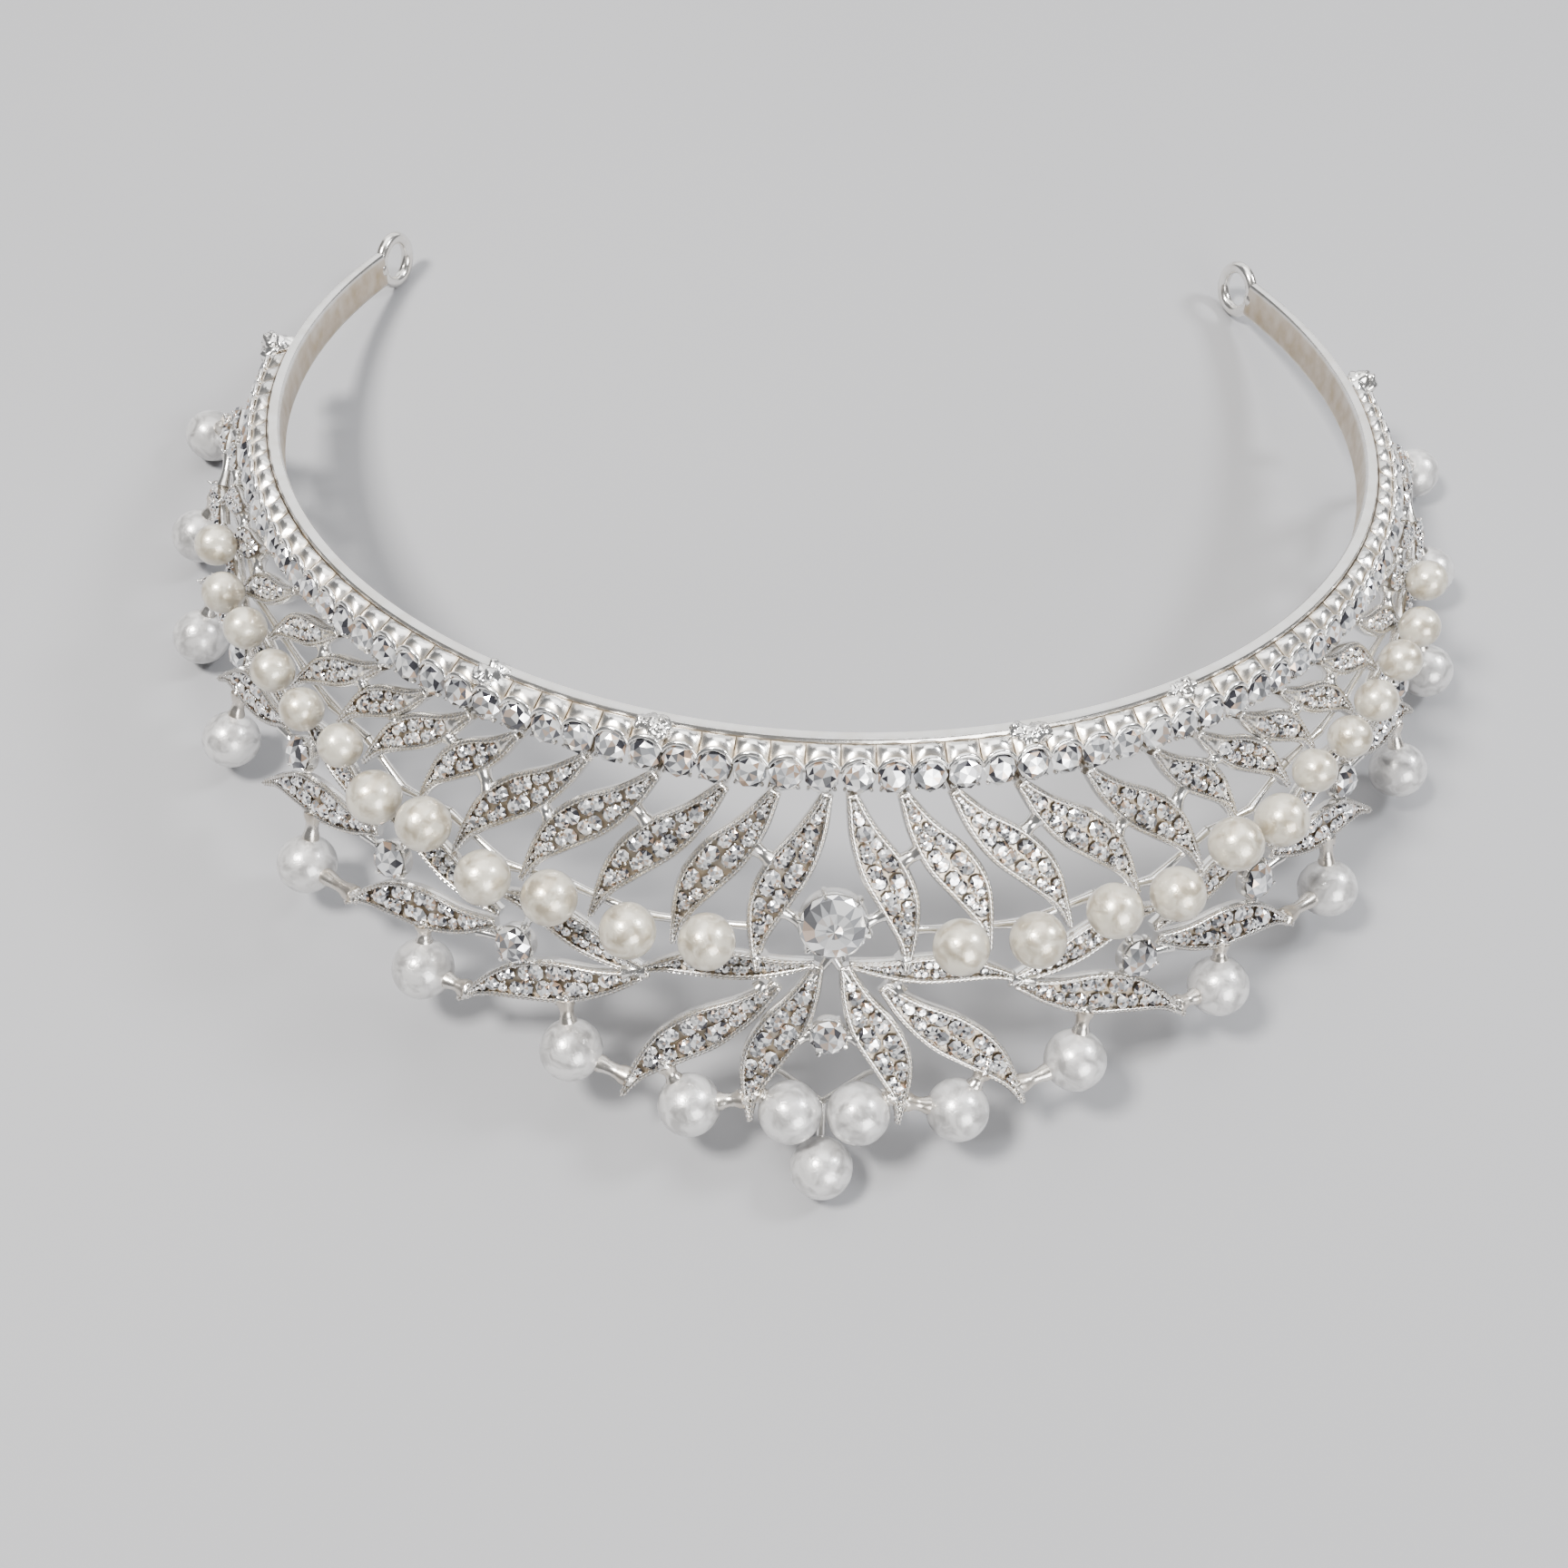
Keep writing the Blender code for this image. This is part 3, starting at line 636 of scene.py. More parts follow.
def cut_stone(shape, place, radius, folds, rings, draw):
    """Round cut stone: facets between rings of reach, height and clearness, with a table in the
    middle and a flat clear base."""
    first = len(shape.points)
    for k, (reach, high, _) in enumerate(rings):
        for j in range(folds):
            turn = 2 * pi * (j + 0.5 * (k % 2)) / folds
            spot = Vector((reach * cos(turn), reach * sin(turn), high)) * radius
            shape.points.append(place @ spot)
    shape.points.append(place @ Vector((0, 0, (rings[-1][1] + TABLE_LIFT) * radius)))
    shape.recess.extend([0.0] * (len(rings) * folds + 1))
    for k, (_, _, clear) in enumerate(rings):
        low = first + k * folds
        high = low + folds
        top = k == len(rings) - 1
        for j in range(folds):
            after = (j + 1) % folds
            if top:
                made = [(low + j, low + after, first + len(rings) * folds)]
            elif k % 2:
                made = [(low + j, low + after, high + after), (low + j, high + after, high + j)]
            else:
                made = [(low + j, low + after, high + j), (low + after, high + after, high + j)]
            shape.faces.extend(made)
            shape.tints.extend(glint(draw, clear) for _ in made)
    shape.faces.append(tuple(first + j for j in range(folds)))
    shape.tints.append(CLEAR_GLASS_GLINT)


def upright(point, normal, turn):
    """Place at a point with z along a normal, turned about it."""
    facing = normal.to_track_quat("Z", "Y").to_matrix().to_4x4()
    return Matrix.Translation(point) @ facing @ Matrix.Rotation(turn, 4, "Z")


def set_leaf(stones, grains, leaf, largest, covered, draw):
    """Stones in staggered rows across a leaf, as many as it has room for, with grains between."""
    travelled = leaf.long * leaf.plain + FINE_FIRST
    odd = False
    while travelled < leaf.long * FINE_LAST:
        share = travelled / leaf.long
        room = 2 * leaf.inner(share) * (SIDE_SIZE if covered else 1.0)
        count = ceil(room / largest)
        size = room / count
        for line in range(count):
            stagger = size * FINE_STAGGER * (line % 2 == odd) / leaf.long
            middle, normal, aside = leaf.at(min(share + stagger, 1.0))
            reach = (line - (count - 1) / 2) * size
            radius = size * draw.uniform(*FINE_RADIUS)
            spot = middle + aside * (reach + draw.uniform(-FINE_ASIDE, FINE_ASIDE))
            spot += normal * (FINE_HEIGHT + SIDE_RISE * covered + draw.uniform(-FINE_UP, FINE_UP))
            lean = (normal + aside * draw.uniform(-FINE_LEAN, FINE_LEAN)).normalized()
            place = upright(spot, lean, draw.uniform(0, pi))
            cut_stone(stones, place, radius, FINE_FACETS, FINE_RINGS, draw)
            ahead = leaf.heading.normalized() * (size * GRAIN_AHEAD)
            side_step = aside * (size * 0.5 * draw.choice((-1, 1)))
            bead = spot + ahead + side_step * (count > 1) + normal * GRAIN_UP
            grains.ball(bead, GRAIN * draw.uniform(*GRAIN_SIZES), sides=6, rings=4)
        travelled += size * FINE_STEP
        odd = not odd


draw = random.Random(STONE_SEED)
for word, side in (("right", 1), ("left", -1)):
    stones, grains = Shape(), Shape()
    for key, leaf in leaves.items():
        if key[2] == side:
            set_leaf(stones, grains, leaf, FINE_STONES[key[0]], key[1] >= SIDE_FROM[key[0]], draw)
    leaf_stones = stones.piece(f"leaf_stones_{word}", crystal, sharp=0.0)
    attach(leaf_stones, "root")
    leaf_grains = grains.piece(f"leaf_grains_{word}", plate, sharp=80.0)
    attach(leaf_grains, "root")

# The row of stones. A ready-made chain of round stones in stamped cups, bent along the outside of
# the band and soldered to it. Above each stone the cup has a square collar that reaches back to
# the band, its front edge bent round the stone; the cup's claws are pressed over the stone.
ROW_COUNT = 33
ROW_PITCH = 3.6
ROW_OFFSET = 4.0
ROW_DROP = 2.55
ROW_LEAN = 27.0
ROW_STEP = 0.02
ROW_STONE = 1.80
ROW_STONE_UP = 0.25
ROW_FACETS = 8
ROW_RINGS = (
    # reach, height, clearness
    (1.00, 0.00, 0.0),
    (0.80, 0.26, 0.0),
    (0.52, 0.44, 0.2),
)
ROW_CUP = (
    # radius, height, recess
    (0.10, -1.20, 0.6),
    (1.20, -1.20, 0.5),
    (1.58, -0.30, 0.4),
    (1.66, 0.20, 0.1),
    (1.60, 0.26, 0.1),
    (1.40, -0.10, 0.9),
    (0.10, -0.10, 0.9),
)
CLAW = (
    # reach and height as shares, height and radius in wires
    (1.02, 0.0, 0.0, 1.00),
    (1.05, 0.6, 0.0, 0.95),
    (0.98, 1.0, 0.0, 0.85),
    (0.86, 1.0, 0.25, 0.50),
)
ROW_CLAWS = 4
ROW_CLAW_TALL = 0.50
ROW_CLAW_WIRE = 0.22
COLLAR_SPREAD = 62.0
COLLAR_STEPS = 10
COLLAR_HALF = 1.70
# reach out from the band, and drop below its upper edge
COLLAR_BACK = (1.66, 0.42)
# reach from the stone's middle, and distance along its axis
COLLAR_FRONT = (1.94, 0.24)
COLLAR_FOOT = (1.50, 0.5)
COLLAR_DEEP = 1.5
COLLAR_SWELL = 0.55
COLLAR_SWELLS = (0.6, 1.15)
COLLAR_ASKEW = 0.25
CROWN = (0.3, 0.6, 0.85)
CROWN_FULL = 0.8
CROWN_UNEVEN = 0.06
# foot, front, the three lines of the crown, back, and under the back; the high values paint shade at the
# foot, the front and the back
COLLAR_RECESS = (0.9, 0.9, 0.05, 0.0, 0.0, 0.7, 0.9)
# painted shade in the seam between two collars, and how fast it ends
SEAM_SHADE = 0.95
SEAM_NARROW = 6
LID_SPREAD = 70.0
LID_REACH = 1.90
# in the middle, and how much less at the ends
LID_HEIGHT = (0.62, 0.25)
LID_RADIUS = (0.30, 0.14)


def row_point(angle):
    spot, outward = band_curve(angle)
    return spot + outward * ROW_OFFSET - Vector((0, 0, ROW_DROP))


def row_angles():
    """Angles of one side's cups, evenly spaced along the row's own curve."""
    angles = []
    travelled = 0.0
    angle = 0.0
    while len(angles) < ROW_COUNT:
        travelled += (row_point(angle + ROW_STEP) - row_point(angle)).length
        angle += ROW_STEP
        if travelled >= ROW_PITCH * (len(angles) + 0.5):
            angles.append(angle)
    return angles


def claws(shape, place, radius, tall, count, wire):
    """Claws that rise beside a stone and bend in over its edge."""
    for k in range(count):
        turn = 2 * pi * (k + 0.5) / count
        route = []
        for share, up, more, _ in CLAW:
            reach = radius * share
            high = tall * up + wire * more
            route.append(place @ Vector((reach * cos(turn), reach * sin(turn), high)))
        shape.tube(route, [wire * thick for _, _, _, thick in CLAW], sides=8)


def collar(shape, middle, axis, sideways, back, draw):
    """Cushion of metal between the band and a stone, with a rolled lid over the stone's edge."""
    up = sideways.cross(axis)
    swell = COLLAR_SWELL * draw.uniform(*COLLAR_SWELLS)
    askew = draw.uniform(-COLLAR_ASKEW, COLLAR_ASKEW)
    sections, deeper = [], []
    for step in range(COLLAR_STEPS + 1):
        share = 2 * step / COLLAR_STEPS - 1
        turn = radians(COLLAR_SPREAD) * share
        spoke = sideways * sin(turn) + up * cos(turn)
        rear = back + sideways * (COLLAR_HALF * share)
        front = middle + spoke * COLLAR_FRONT[0] + axis * COLLAR_FRONT[1]
        foot = middle + spoke * COLLAR_FOOT[0] - axis * COLLAR_FOOT[1]
        bulge = swell * (1 - share ** 2) * (1 + askew * share)
        crown = []
        for along in CROWN:
            uneven = draw.uniform(-CROWN_UNEVEN, CROWN_UNEVEN) * (1 - share ** 2)
            rise = bulge * sin(pi * along) ** CROWN_FULL + uneven
            crown.append(front.lerp(rear, along) + Vector((0, 0, rise)))
        sections.append([foot, front, *crown, rear, rear - Vector((0, 0, COLLAR_DEEP))])
        deeper.append(SEAM_SHADE * share ** SEAM_NARROW)
    shape.loft(sections, COLLAR_RECESS, deeper=deeper)
    lid, radii = [], []
    for step in range(COLLAR_STEPS + 1):
        share = 2 * step / COLLAR_STEPS - 1
        turn = radians(LID_SPREAD) * share
        spoke = sideways * sin(turn) + up * cos(turn)
        lid.append(middle + spoke * LID_REACH + axis * (LID_HEIGHT[0] - LID_HEIGHT[1] * share * share))
        radii.append(LID_RADIUS[0] - LID_RADIUS[1] * share * share)
    shape.tube(lid, radii, sides=8)


cups, collars, gems = Shape(), Shape(), Shape()
for side in (1, -1):
    for angle in row_angles():
        spot, outward = band_curve(angle * side)
        lean = radians(ROW_LEAN)
        axis = outward * cos(lean) + Vector((0, 0, sin(lean)))
        sideways = outward.cross(Vector((0, 0, 1)))
        middle = row_point(angle * side)
        facing = Matrix((sideways, axis.cross(sideways), axis)).transposed().to_4x4()
        place = Matrix.Translation(middle) @ facing
        cups.turned(place, ROW_CUP, sides=16)
        claws(cups, place, ROW_STONE, ROW_CLAW_TALL, ROW_CLAWS, ROW_CLAW_WIRE)
        back = spot + outward * COLLAR_BACK[0] - Vector((0, 0, COLLAR_BACK[1]))
        collar(collars, middle, axis, sideways, back, draw)
        seat = place @ Matrix.Translation((0, 0, ROW_STONE_UP))
        turned_stone = seat @ Matrix.Rotation(draw.uniform(0, pi), 4, "Z")
        cut_stone(gems, turned_stone, ROW_STONE, ROW_FACETS, ROW_RINGS, draw)
row_cups = cups.piece("row_cups", plate)
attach(row_cups, "root")
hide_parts("stone_row")
row_collars = collars.piece("row_collars", plate, sharp=50.0)
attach(row_collars, "root")
row_stones = gems.piece("row_stones", crystal, sharp=0.0)
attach(row_stones, "root")

# The wires and joints. Short round wires and lumps of silver solder tie the leaves to each other,
# carry the inner pearls, and hold each rim pearl away from its leaves on one or two little posts.
GAP = 0.3
RIM_PEARL = 7.0
WALL_REACH = 0.85
# a soldered wire's radius from end to end, as shares of the wire
SOLDER_NECK = (0.72, 0.56, 0.50, 0.56, 0.72)
SOLDER_RECESS = 0.05
BRIDGE_WIRE = 1.45
RAIL_WIRE = 0.9
RAIL_DEEP = -0.6
# leaf and share along it where the wire behind the inner pearls starts and stops
RAIL_ENDS = ((1, 0.78), (13, 0.80))
POST_WIRE = 1.6
POST_PROFILE = (
    # radius in wires, and recess, which paints shade on the post, from the leaf to the pearl
    (0.70, 0.60),
    (0.66, 0.60),
    (0.50, 0.50),
    (0.46, 0.40),
    (0.50, 0.35),
    (0.62, 0.45),
    (0.60, 0.60),
)
POST_SUNK = 0.40
POST_LUMP = 0.58
# the lump's recess value paints shade on it
POST_LUMP_RECESS = 0.25
POST_LUMP_ROUGH = 0.6
POST_SEED = 2.3
INNER_ROW = (
    # angle, drop, diameter
    (8.5, 18.4, 6.0),
    (13.9, 18.8, 6.0),
    (19.7, 17.6, 6.0),
    (24.9, 18.0, 6.0),
    (30.4, 15.3, 6.0),
    (35.2, 15.4, 6.0),
    (39.9, 12.8, 5.0),
    (45.0, 12.3, 5.0),
    (49.8, 11.3, 5.0),
    (55.4, 10.5, 5.0),
    (61.0, 10.6, 5.0),
    (65.6, 8.2, 5.0),
)
RIM_POSTS = (
    # pearl, leaf, along
    (1, 1, 0.84),
    (2, 1, 0.90),
    (2, 2, 0.72),
    (3, 2, 0.92),
    (3, 3, 0.42),
    (4, 3, 0.95),
    (4, 4, 0.46),
    (5, 4, 0.95),
    (5, 5, 0.54),
    (6, 6, 0.70),
    (7, 7, 0.72),
    (8, 8, 0.72),
    (9, 9, 0.92),
)
BRIDGES = (
    # leaf, along, leaf, along
    (("upper", 1), 0.42, ("upper", 2), 0.32),
    (("upper", 3), 0.42, ("upper", 4), 0.22),
    (("upper", 4), 0.64, ("upper", 5), 0.38),
    (("upper", 5), 0.60, ("upper", 6), 0.42),
    (("upper", 6), 0.52, ("upper", 7), 0.24),
    (("upper", 7), 0.60, ("upper", 8), 0.36),
    (("upper", 8), 0.62, ("upper", 9), 0.24),
    (("upper", 9), 0.58, ("upper", 10), 0.24),
    (("upper", 11), 0.64, ("upper", 12), 0.22),
    (("upper", 12), 0.64, ("upper", 13), 0.14),
    (("upper", 13), 0.64, ("upper", 14), 0.14),
    (("upper", 14), 0.72, ("upper", 15), 0.14),
    (("upper", 1), 0.90, ("companion", 1), 0.30),
    (("companion", 1), 0.26, ("lower", 2), 0.08),
    (("companion", 1), 0.92, ("lower", 3), 0.08),
    (("upper", 14), 0.90, ("lower", 8), 0.60),
    (("upper", 15), 0.90, ("lower", 9), 0.50),
)
SIDE_STONES = (
    # angle, drop, diameter
    (22.8, 25.4, 4.6),
    (34.5, 22.9, 4.6),
    (46.6, 19.2, 4.4),
    (59.0, 16.4, 4.2),
    (71.0, 12.2, 4.0),
)
SEAT_TIES = (
    # kind, step, along
    ("lower", 3, 0.12),
    ("companion", 1, 0.72),
)
SOLDER_HEAPS = (
    # angle, nearest and farthest out, half length, drops, sizes, count
    (15.0, (0.9, 2.7), 1.3, (0.5, 1.0), (0.85, 1.2), 8),
    (29.5, (0.9, 2.7), 1.3, (0.5, 1.0), (0.85, 1.2), 8),
    (94.0, (1.9, 4.8), 1.5, (1.1, 2.8), (1.1, 1.6), 11),
)
HEAP_ROUGH = 0.4
HEAP_SEEDS = 50
NOTCH_FROM = 0.66
NOTCH_BACK = 0.4
# angle, drop, proud
NOTCH_BEND = (3.0, 35.2, -3.9)
NOTCH_WIRE = 0.8
APEX_FROM = 38.6
APEX_WIRE = 1.1


def wall_point(leaf, along, target):
    """Point in a leaf's wall, on the side that faces a target."""
    middle, _, aside = leaf.at(along)
    sign = 1 if (target - middle).dot(aside) > 0 else -1
    return middle + aside * (leaf.wide(along) * WALL_REACH * sign)


def soldered(shape, near, far, wire):
    """Wire that swells into solder at both ends."""
    radii = [wire * share for share in SOLDER_NECK]
    last = len(radii) - 1
    shape.tube([near.lerp(far, k / last) for k in range(last + 1)], radii, recess=SOLDER_RECESS)


def solder_heap(shape, angle, outs, length, drops, sizes, count, draw):
    """Heap of solder drops, spread between two distances out from the band and along it."""
    spot, outward = band_curve(angle)
    ahead = outward.cross(Vector((0, 0, 1)))
    for _ in range(count):
        centre = spot + outward * draw.uniform(*outs) + ahead * draw.uniform(-length, length)
        centre -= Vector((0, 0, draw.uniform(*drops)))
        size = draw.uniform(*sizes)
        seed = draw.uniform(0, HEAP_SEEDS)
        shape.ball(centre, size, sides=20, rings=14, rough=HEAP_ROUGH, seed=seed)


for word, side in (("right", 1), ("left", -1)):
    joints = Shape()
    for first, first_along, second, second_along in BRIDGES:
        one, other = leaves[(*first, side)], leaves[(*second, side)]
        near = wall_point(one, first_along, other.at(second_along)[0])
        soldered(joints, near, wall_point(other, second_along, near), BRIDGE_WIRE)
    start, stop = [leaves["upper", number, side].at(along)[0] for number, along in RAIL_ENDS]
    rail = [start, *(panel(angle * side, drop, RAIL_DEEP) for angle, drop, _ in INNER_ROW), stop]
    for near, far in zip(rail, rail[1:]):
        soldered(joints, near, far, RAIL_WIRE)
    for number, (angle, drop, _) in enumerate(SIDE_STONES, 1):
        seat = panel(angle * side, drop)
        for kind, step, along in SEAT_TIES:
            soldered(joints, seat, wall_point(leaves[kind, number + step, side], along, seat), RAIL_WIRE)
    for angle, *heap in SOLDER_HEAPS:
        solder_heap(joints, angle * side, *heap, draw)
    panel_joints = joints.piece(f"panel_joints_{word}", plate, sharp=60.0)
    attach(panel_joints, "root")

    posts = Shape()
    for rank, number, along in RIM_POSTS:
        angle, drop = RIM_ROW[rank - 1]
        centre = panel(angle * side, drop)
        foot = wall_point(leaves["lower", number, side], along, centre)
        end = centre + (foot - centre).normalized() * (RIM_PEARL / 2 - POST_SUNK)
        posts.ball(foot, POST_WIRE * POST_LUMP, sides=14, rings=10, recess=POST_LUMP_RECESS,
                   rough=POST_LUMP_ROUGH, seed=rank + number * POST_SEED)
        radii = [POST_WIRE * share for share, _ in POST_PROFILE]
        last = len(radii) - 1
        posts.tube([foot.lerp(end, k / last) for k in range(last + 1)], radii, sides=12,
                   deeper=[deep for _, deep in POST_PROFILE])
    pearl_posts = posts.piece(f"pearl_posts_{word}", plate, sharp=60.0)
    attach(pearl_posts, "root")

behind = -(RIM_PEARL / 2 + GAP + APEX_WIRE / 2)
apex = Shape()
apex.tube([panel(0.0, drop, behind) for drop in (APEX_FROM, APEX_DROP)], [APEX_WIRE / 2] * 2, sides=12)
for side in (1, -1):
    angle, drop, proud = NOTCH_BEND
    start = leaves["lower", 1, side].at(NOTCH_FROM)[0] - panel_normal(0.0, drop) * NOTCH_BACK
    bend = [start, panel(angle * side, drop, proud), panel(0.0, APEX_FROM, behind)]
    apex.tube(bend, [NOTCH_WIRE / 2] * len(bend), sides=12)
apex_wire = apex.piece("apex_wire", plate, sharp=60.0)
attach(apex_wire, "root")

# The single stones. One large and one small stone on the middle line, and five on each side at
# the roots of lower leaves, cut from silvered glass. Each sits in an open ring of cast metal, and
# claws beside the ring are bent over the stone's edge.
CENTRE_STONE = (0.0, 17.0, 7.6)
LOWER_STONE = (0.0, 28.8, 4.2)
OPEN_RING_WALL = 1.0
SINGLE_TURN = 0.3
SINGLE_SHARE = 0.95
# above the ring's rise: the ring's top, the stone and the claws
RING_OVER = 0.1
STONE_OVER = 0.35
CLAW_OVER = 0.55
SINGLE_CLAW_WIRE = 0.30
RING_TIE_WIRE = 1.17
RING_JOINTS = (
    # stone, kind, along
    (CENTRE_STONE, "upper", 0.66),
    (LOWER_STONE, "lower", 0.44),
)
ROOT_JOINT = 0.10
CENTRE_RINGS = (
    # reach, height, clearness
    (1.00, 0.00, 0.05),
    (0.90, 0.12, 0.15),
    (0.56, 0.34, 0.60),
    (0.24, 0.34, 0.30),
)
SINGLE_RINGS = (
    # reach, height, clearness
    (1.00, 0.00, 0.0),
    (0.80, 0.24, 0.05),
    (0.50, 0.42, 0.25),
)
# facets around, rings, rise of the ring, claws
CENTRE_CUT = (16, CENTRE_RINGS, 0.85, 6)
SINGLE_CUT = (10, SINGLE_RINGS, 0.60, 4)


def ring_setting(shape, place, diameter, height):
    """Open ring with a rounded top, in which a stone sits."""
    outer = diameter / 2
    inner = outer - OPEN_RING_WALL
    low = -LEAF_THICK / 2
    profile = (
        # radius, height, recess
        (inner, low, 0.5),
        (outer * 0.97, low, 0.3),
        (outer, 0.2, 0.0),
        (outer * 0.95, height, 0.0),
        (outer * 0.84, height, 0.1),
        (inner, 0.1, 0.8),
    )
    shape.turned(place, profile, sides=32)


singles = [("centre_stone", CENTRE_STONE, CENTRE_CUT), ("lower_stone", LOWER_STONE, SINGLE_CUT)]
for word, side in (("right", 1), ("left", -1)):
    for number, (angle, drop, diameter) in enumerate(SIDE_STONES, 1):
        row = (angle * side, drop, diameter)
        singles.append((f"side_stone_{word}_{number}", row, SINGLE_CUT))
settings = Shape()
for name, (angle, drop, diameter), (folds, rings, rise, count) in singles:
    place = upright(panel(angle, drop), panel_normal(angle, drop), SINGLE_TURN)
    ring_setting(settings, place, diameter, rise + RING_OVER)
    claws(settings, place, diameter / 2, rise + CLAW_OVER, count, SINGLE_CLAW_WIRE)
    gem = Shape()
    seat = place @ Matrix.Translation((0, 0, rise + STONE_OVER))
    cut_stone(gem, seat, diameter / 2 * SINGLE_SHARE, folds, rings, draw)
    single = gem.piece(f"{name}_cut", crystal, sharp=0.0)
    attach(single, "root")
    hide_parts(name)
for (_, drop, diameter), kind, along in RING_JOINTS:
    middle = panel(0.0, drop)
    for side in (1, -1):
        edge = middle + Vector((side * (diameter - OPEN_RING_WALL) / 2, 0, 0))
        soldered(settings, edge, wall_point(leaves[kind, 1, side], along, edge), RING_TIE_WIRE)
below_ring = panel(0.0, CENTRE_STONE[1] + (CENTRE_STONE[2] - OPEN_RING_WALL) / 2)
for side in (1, -1):
    soldered(settings, below_ring, leaves["lower", 1, side].at(ROOT_JOINT)[0], RAIL_WIRE)
stone_settings = settings.piece("stone_settings", plate)
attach(stone_settings, "root")

# The pearls. Glass beads dipped in pearl essence, glued on their posts. The coat has dried with
# faint folds and clouds in it. The rim pearls are white, and the inner ones a little creamier.
PEARL_SIDES = 40
PEARL_RINGS = 26
PEARL_WAVE = 0.035
RIM_SEED = 3.7
INNER_SEED = 2.9
INNER_FIRST_SEED = 50


def pearl_finish(name, light, shade):
    made = Finish(name, coat_weight=1.0, coat_roughness=0.09)
    clouds = made.noise(520.0, detail=4.0, distortion=0.8)
    folds = made.noise(1500.0, detail=2.0, distortion=1.5)
    mark = made.node("ShaderNodeValToRGB", {"stops": ((0.44, 0.0), (0.64, 1.0))}, {"Fac": clouds})
    made.set({
        "Base Color": made.mix(mark, light, shade),
        "Roughness": 0.26 + 0.16 * folds,
        "Metallic": 0.42 + 0.22 * mark,
    })
    made.bump(folds + clouds, strength=0.30, deep=0.00010)
    return made


white_pearl = pearl_finish("white pearl", (0.64, 0.63, 0.62, 1.0), (0.43, 0.42, 0.41, 1.0))
cream_pearl = pearl_finish("cream pearl", (0.63, 0.59, 0.49, 1.0), (0.46, 0.40, 0.30, 1.0))


def pearl(shape, centre, diameter, seed):
    """Bead that is very slightly out of round."""
    wave = 2 * PEARL_WAVE / diameter
    shape.ball(centre, diameter / 2 - PEARL_WAVE, PEARL_SIDES, PEARL_RINGS, rough=wave, seed=seed)


beads = Shape()
pearl(beads, panel(0.0, APEX_DROP), RIM_PEARL, 0)
apex_pearl = beads.piece("apex_pearl_bead", white_pearl, sharp=80.0)
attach(apex_pearl, "root")
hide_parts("apex_pearl")
for word, side in (("right", 1), ("left", -1)):
    beads = Shape()
    for number, (angle, drop) in enumerate(RIM_ROW, 1):
        pearl(beads, panel(angle * side, drop), RIM_PEARL, number * side * RIM_SEED)
    rim_pearls = beads.piece(f"rim_pearls_{word}", white_pearl, sharp=80.0)
    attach(rim_pearls, "root")
    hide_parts(*[f"rim_pearl_{word}_{number}" for number in range(1, len(RIM_ROW) + 1)])
    beads = Shape()
    for number, (angle, drop, diameter) in enumerate(INNER_ROW, 1):
        proud = LEAF_THICK / 2 + GAP + diameter / 2
        seed = INNER_FIRST_SEED + number * side * INNER_SEED
        pearl(beads, panel(angle * side, drop, proud), diameter, seed)
    inner_pearls = beads.piece(f"inner_pearls_{word}", cream_pearl, sharp=80.0)
    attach(inner_pearls, "root")
    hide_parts(*[f"inner_pearl_{word}_{number}" for number in range(1, len(INNER_ROW) + 1)])

# The table top under the tiara. A plain pale matt sheet with a hardly visible cloudiness, laid
# flat, and wide enough to fill the view.
FLOOR_HALF = 1.5
FLOOR_LIGHT = (0.31, 0.31, 0.32, 1.0)
FLOOR_SHADE = (0.28, 0.28, 0.29, 1.0)
floor_finish = Finish("pale sheet", roughness=0.75)
floor_tone = floor_finish.noise(6.0)
floor_finish.set({"Base Color": floor_finish.mix(floor_tone, FLOOR_LIGHT, FLOOR_SHADE)})
floor_mesh = bpy.data.meshes.new("floor")
corners = [(x * FLOOR_HALF, y * FLOOR_HALF, 0.0) for x, y in ((-1, -1), (1, -1), (1, 1), (-1, 1))]
floor_mesh.from_pydata(corners, [], [(0, 1, 2, 3)])
floor_mesh.materials.append(floor_finish.material)
floor = bpy.data.objects.new("floor", floor_mesh)
bpy.context.scene.collection.objects.link(floor)

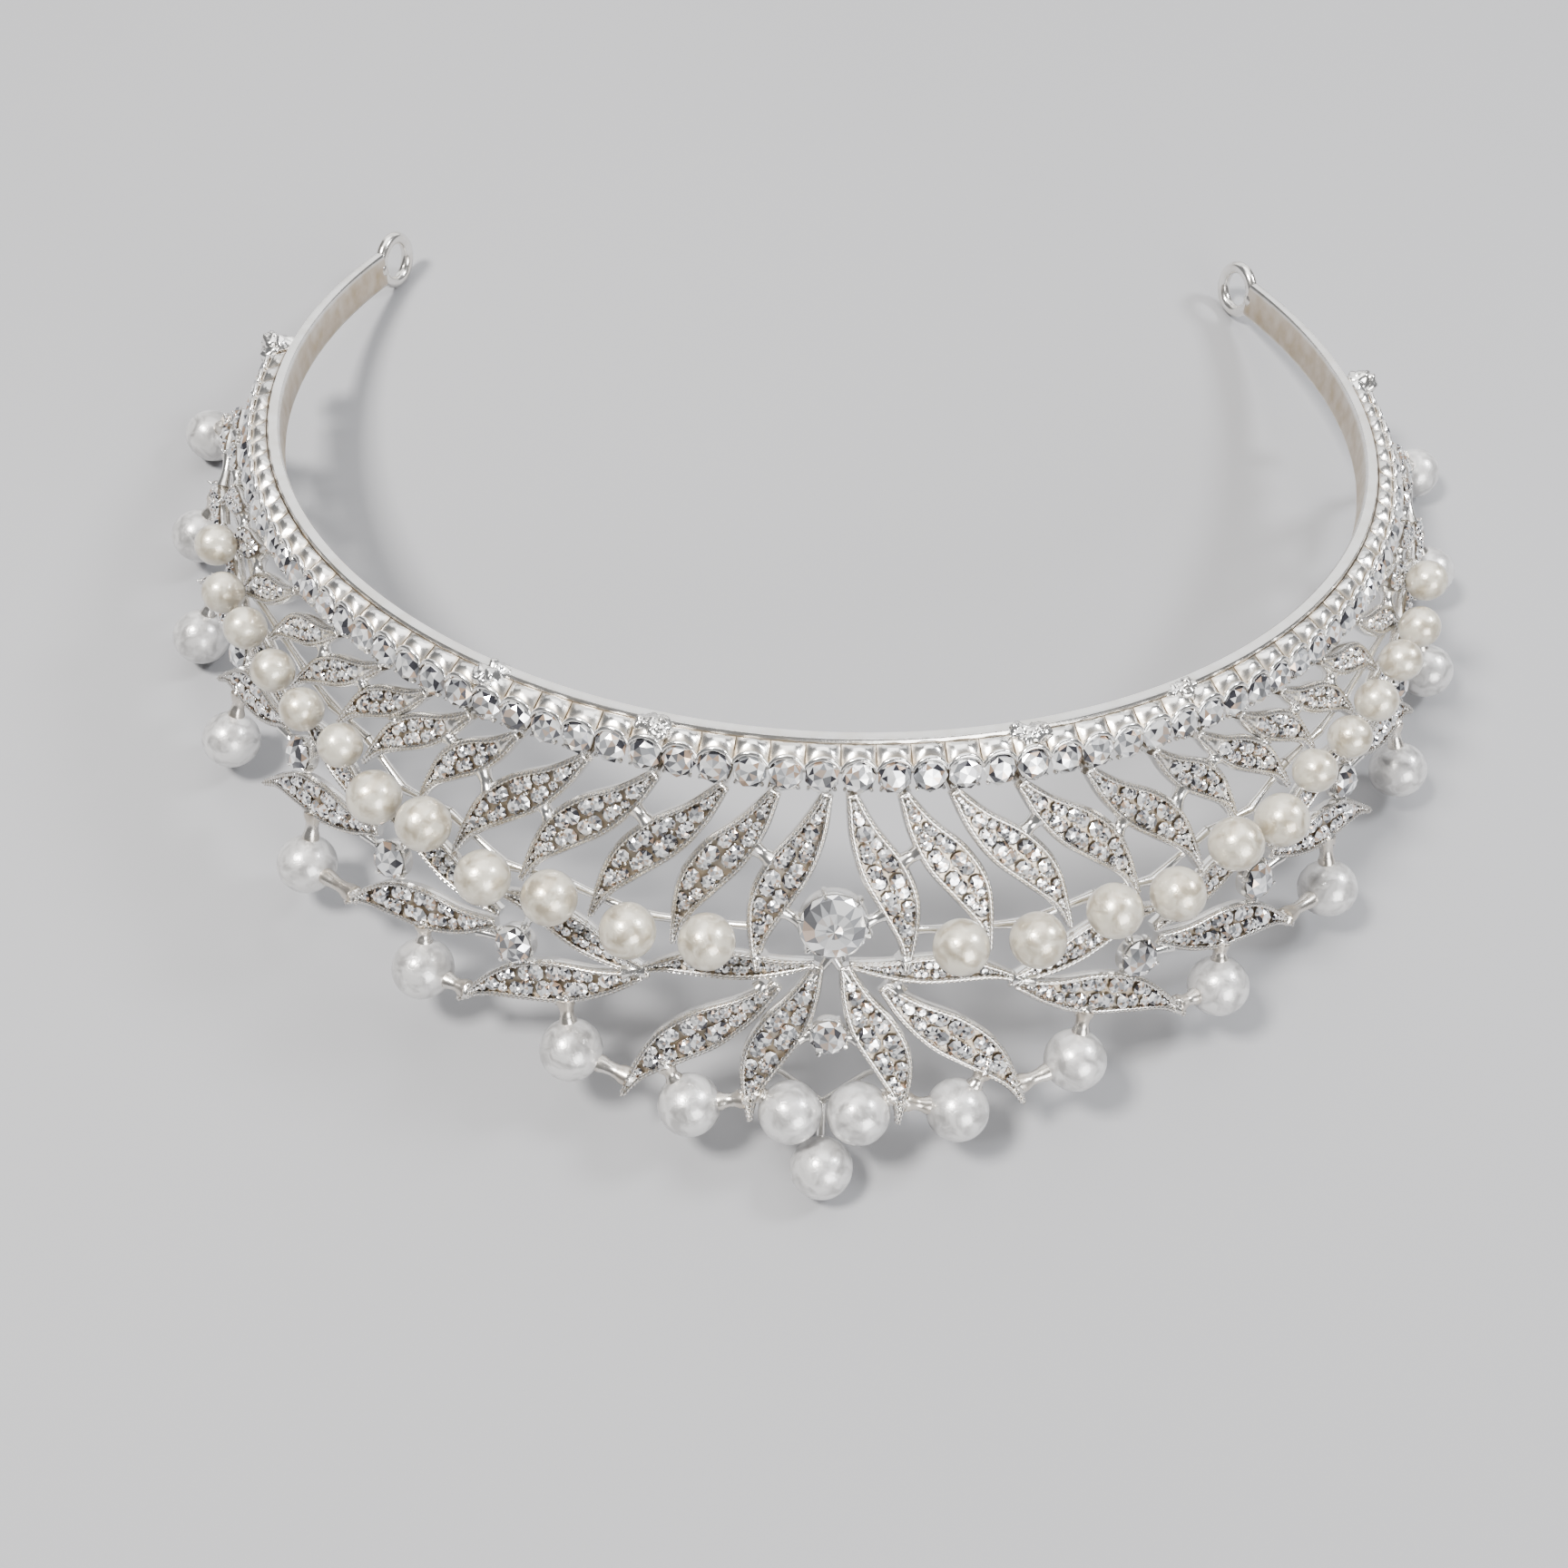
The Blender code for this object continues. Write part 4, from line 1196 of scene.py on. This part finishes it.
# The studio. Five soft lamps in a dim room: the key high on the left, a fill on the right, one in
# front, one overhead, and a wide one behind, which the band's upper edge mirrors.
LAMPS = (
    # name, place in metres, width and height in metres, power in watts, colour
    ("key lamp", (-0.30, -0.06, 0.60), (0.13, 0.13), 9.0, (1.0, 0.98, 0.95)),
    ("fill lamp", (0.42, 0.12, 0.44), (0.12, 0.12), 3.5, (0.95, 0.97, 1.0)),
    ("front lamp", (0.27, -0.49, 0.28), (0.32, 0.32), 4.0, (1.0, 1.0, 1.0)),
    ("overhead lamp", (0.0, 0.32, 0.62), (0.60, 0.60), 4.0, (1.0, 1.0, 1.0)),
    ("back lamp", (0.0, 0.80, 0.28), (1.30, 0.48), 3.2, (1.0, 1.0, 1.0)),
)
ROOM = (0.86, 0.87, 0.89, 1.0)
ROOM_LIGHT = 0.22
for name, spot, (wide, high), power, colour in LAMPS:
    light = bpy.data.lights.new(name, "AREA")
    light.shape = "RECTANGLE"
    light.size = wide
    light.size_y = high
    light.energy = power
    light.color = colour
    lamp = bpy.data.objects.new(name, light)
    lamp.location = spot
    lamp.rotation_euler = (-Vector(spot)).to_track_quat("-Z", "Y").to_euler()
    bpy.context.scene.collection.objects.link(lamp)
room = bpy.data.worlds.new("room")
room.use_nodes = True
room.node_tree.nodes["Background"].inputs["Color"].default_value = ROOM
room.node_tree.nodes["Background"].inputs["Strength"].default_value = ROOM_LIGHT
bpy.context.scene.world = room

# The camera looks down on the tiara from in front, a little from the left. Its place is in
# metres, its turn in degrees, and its lens and sensor in millimetres.
CAMERA_AT = (-0.01014, -0.11128, 0.17413)
CAMERA_TURN = (28.292, -2.158, 0.487)
CAMERA_LENS = 36.1
CAMERA_SENSOR = 36.0
CAMERA_NEAR = 0.01
lens = bpy.data.cameras.new("camera")
lens.lens = CAMERA_LENS
lens.sensor_width = CAMERA_SENSOR
lens.clip_start = CAMERA_NEAR
camera = bpy.data.objects.new("camera", lens)
camera.location = CAMERA_AT
camera.rotation_euler = [radians(value) for value in CAMERA_TURN]
bpy.context.scene.collection.objects.link(camera)
bpy.context.scene.camera = camera
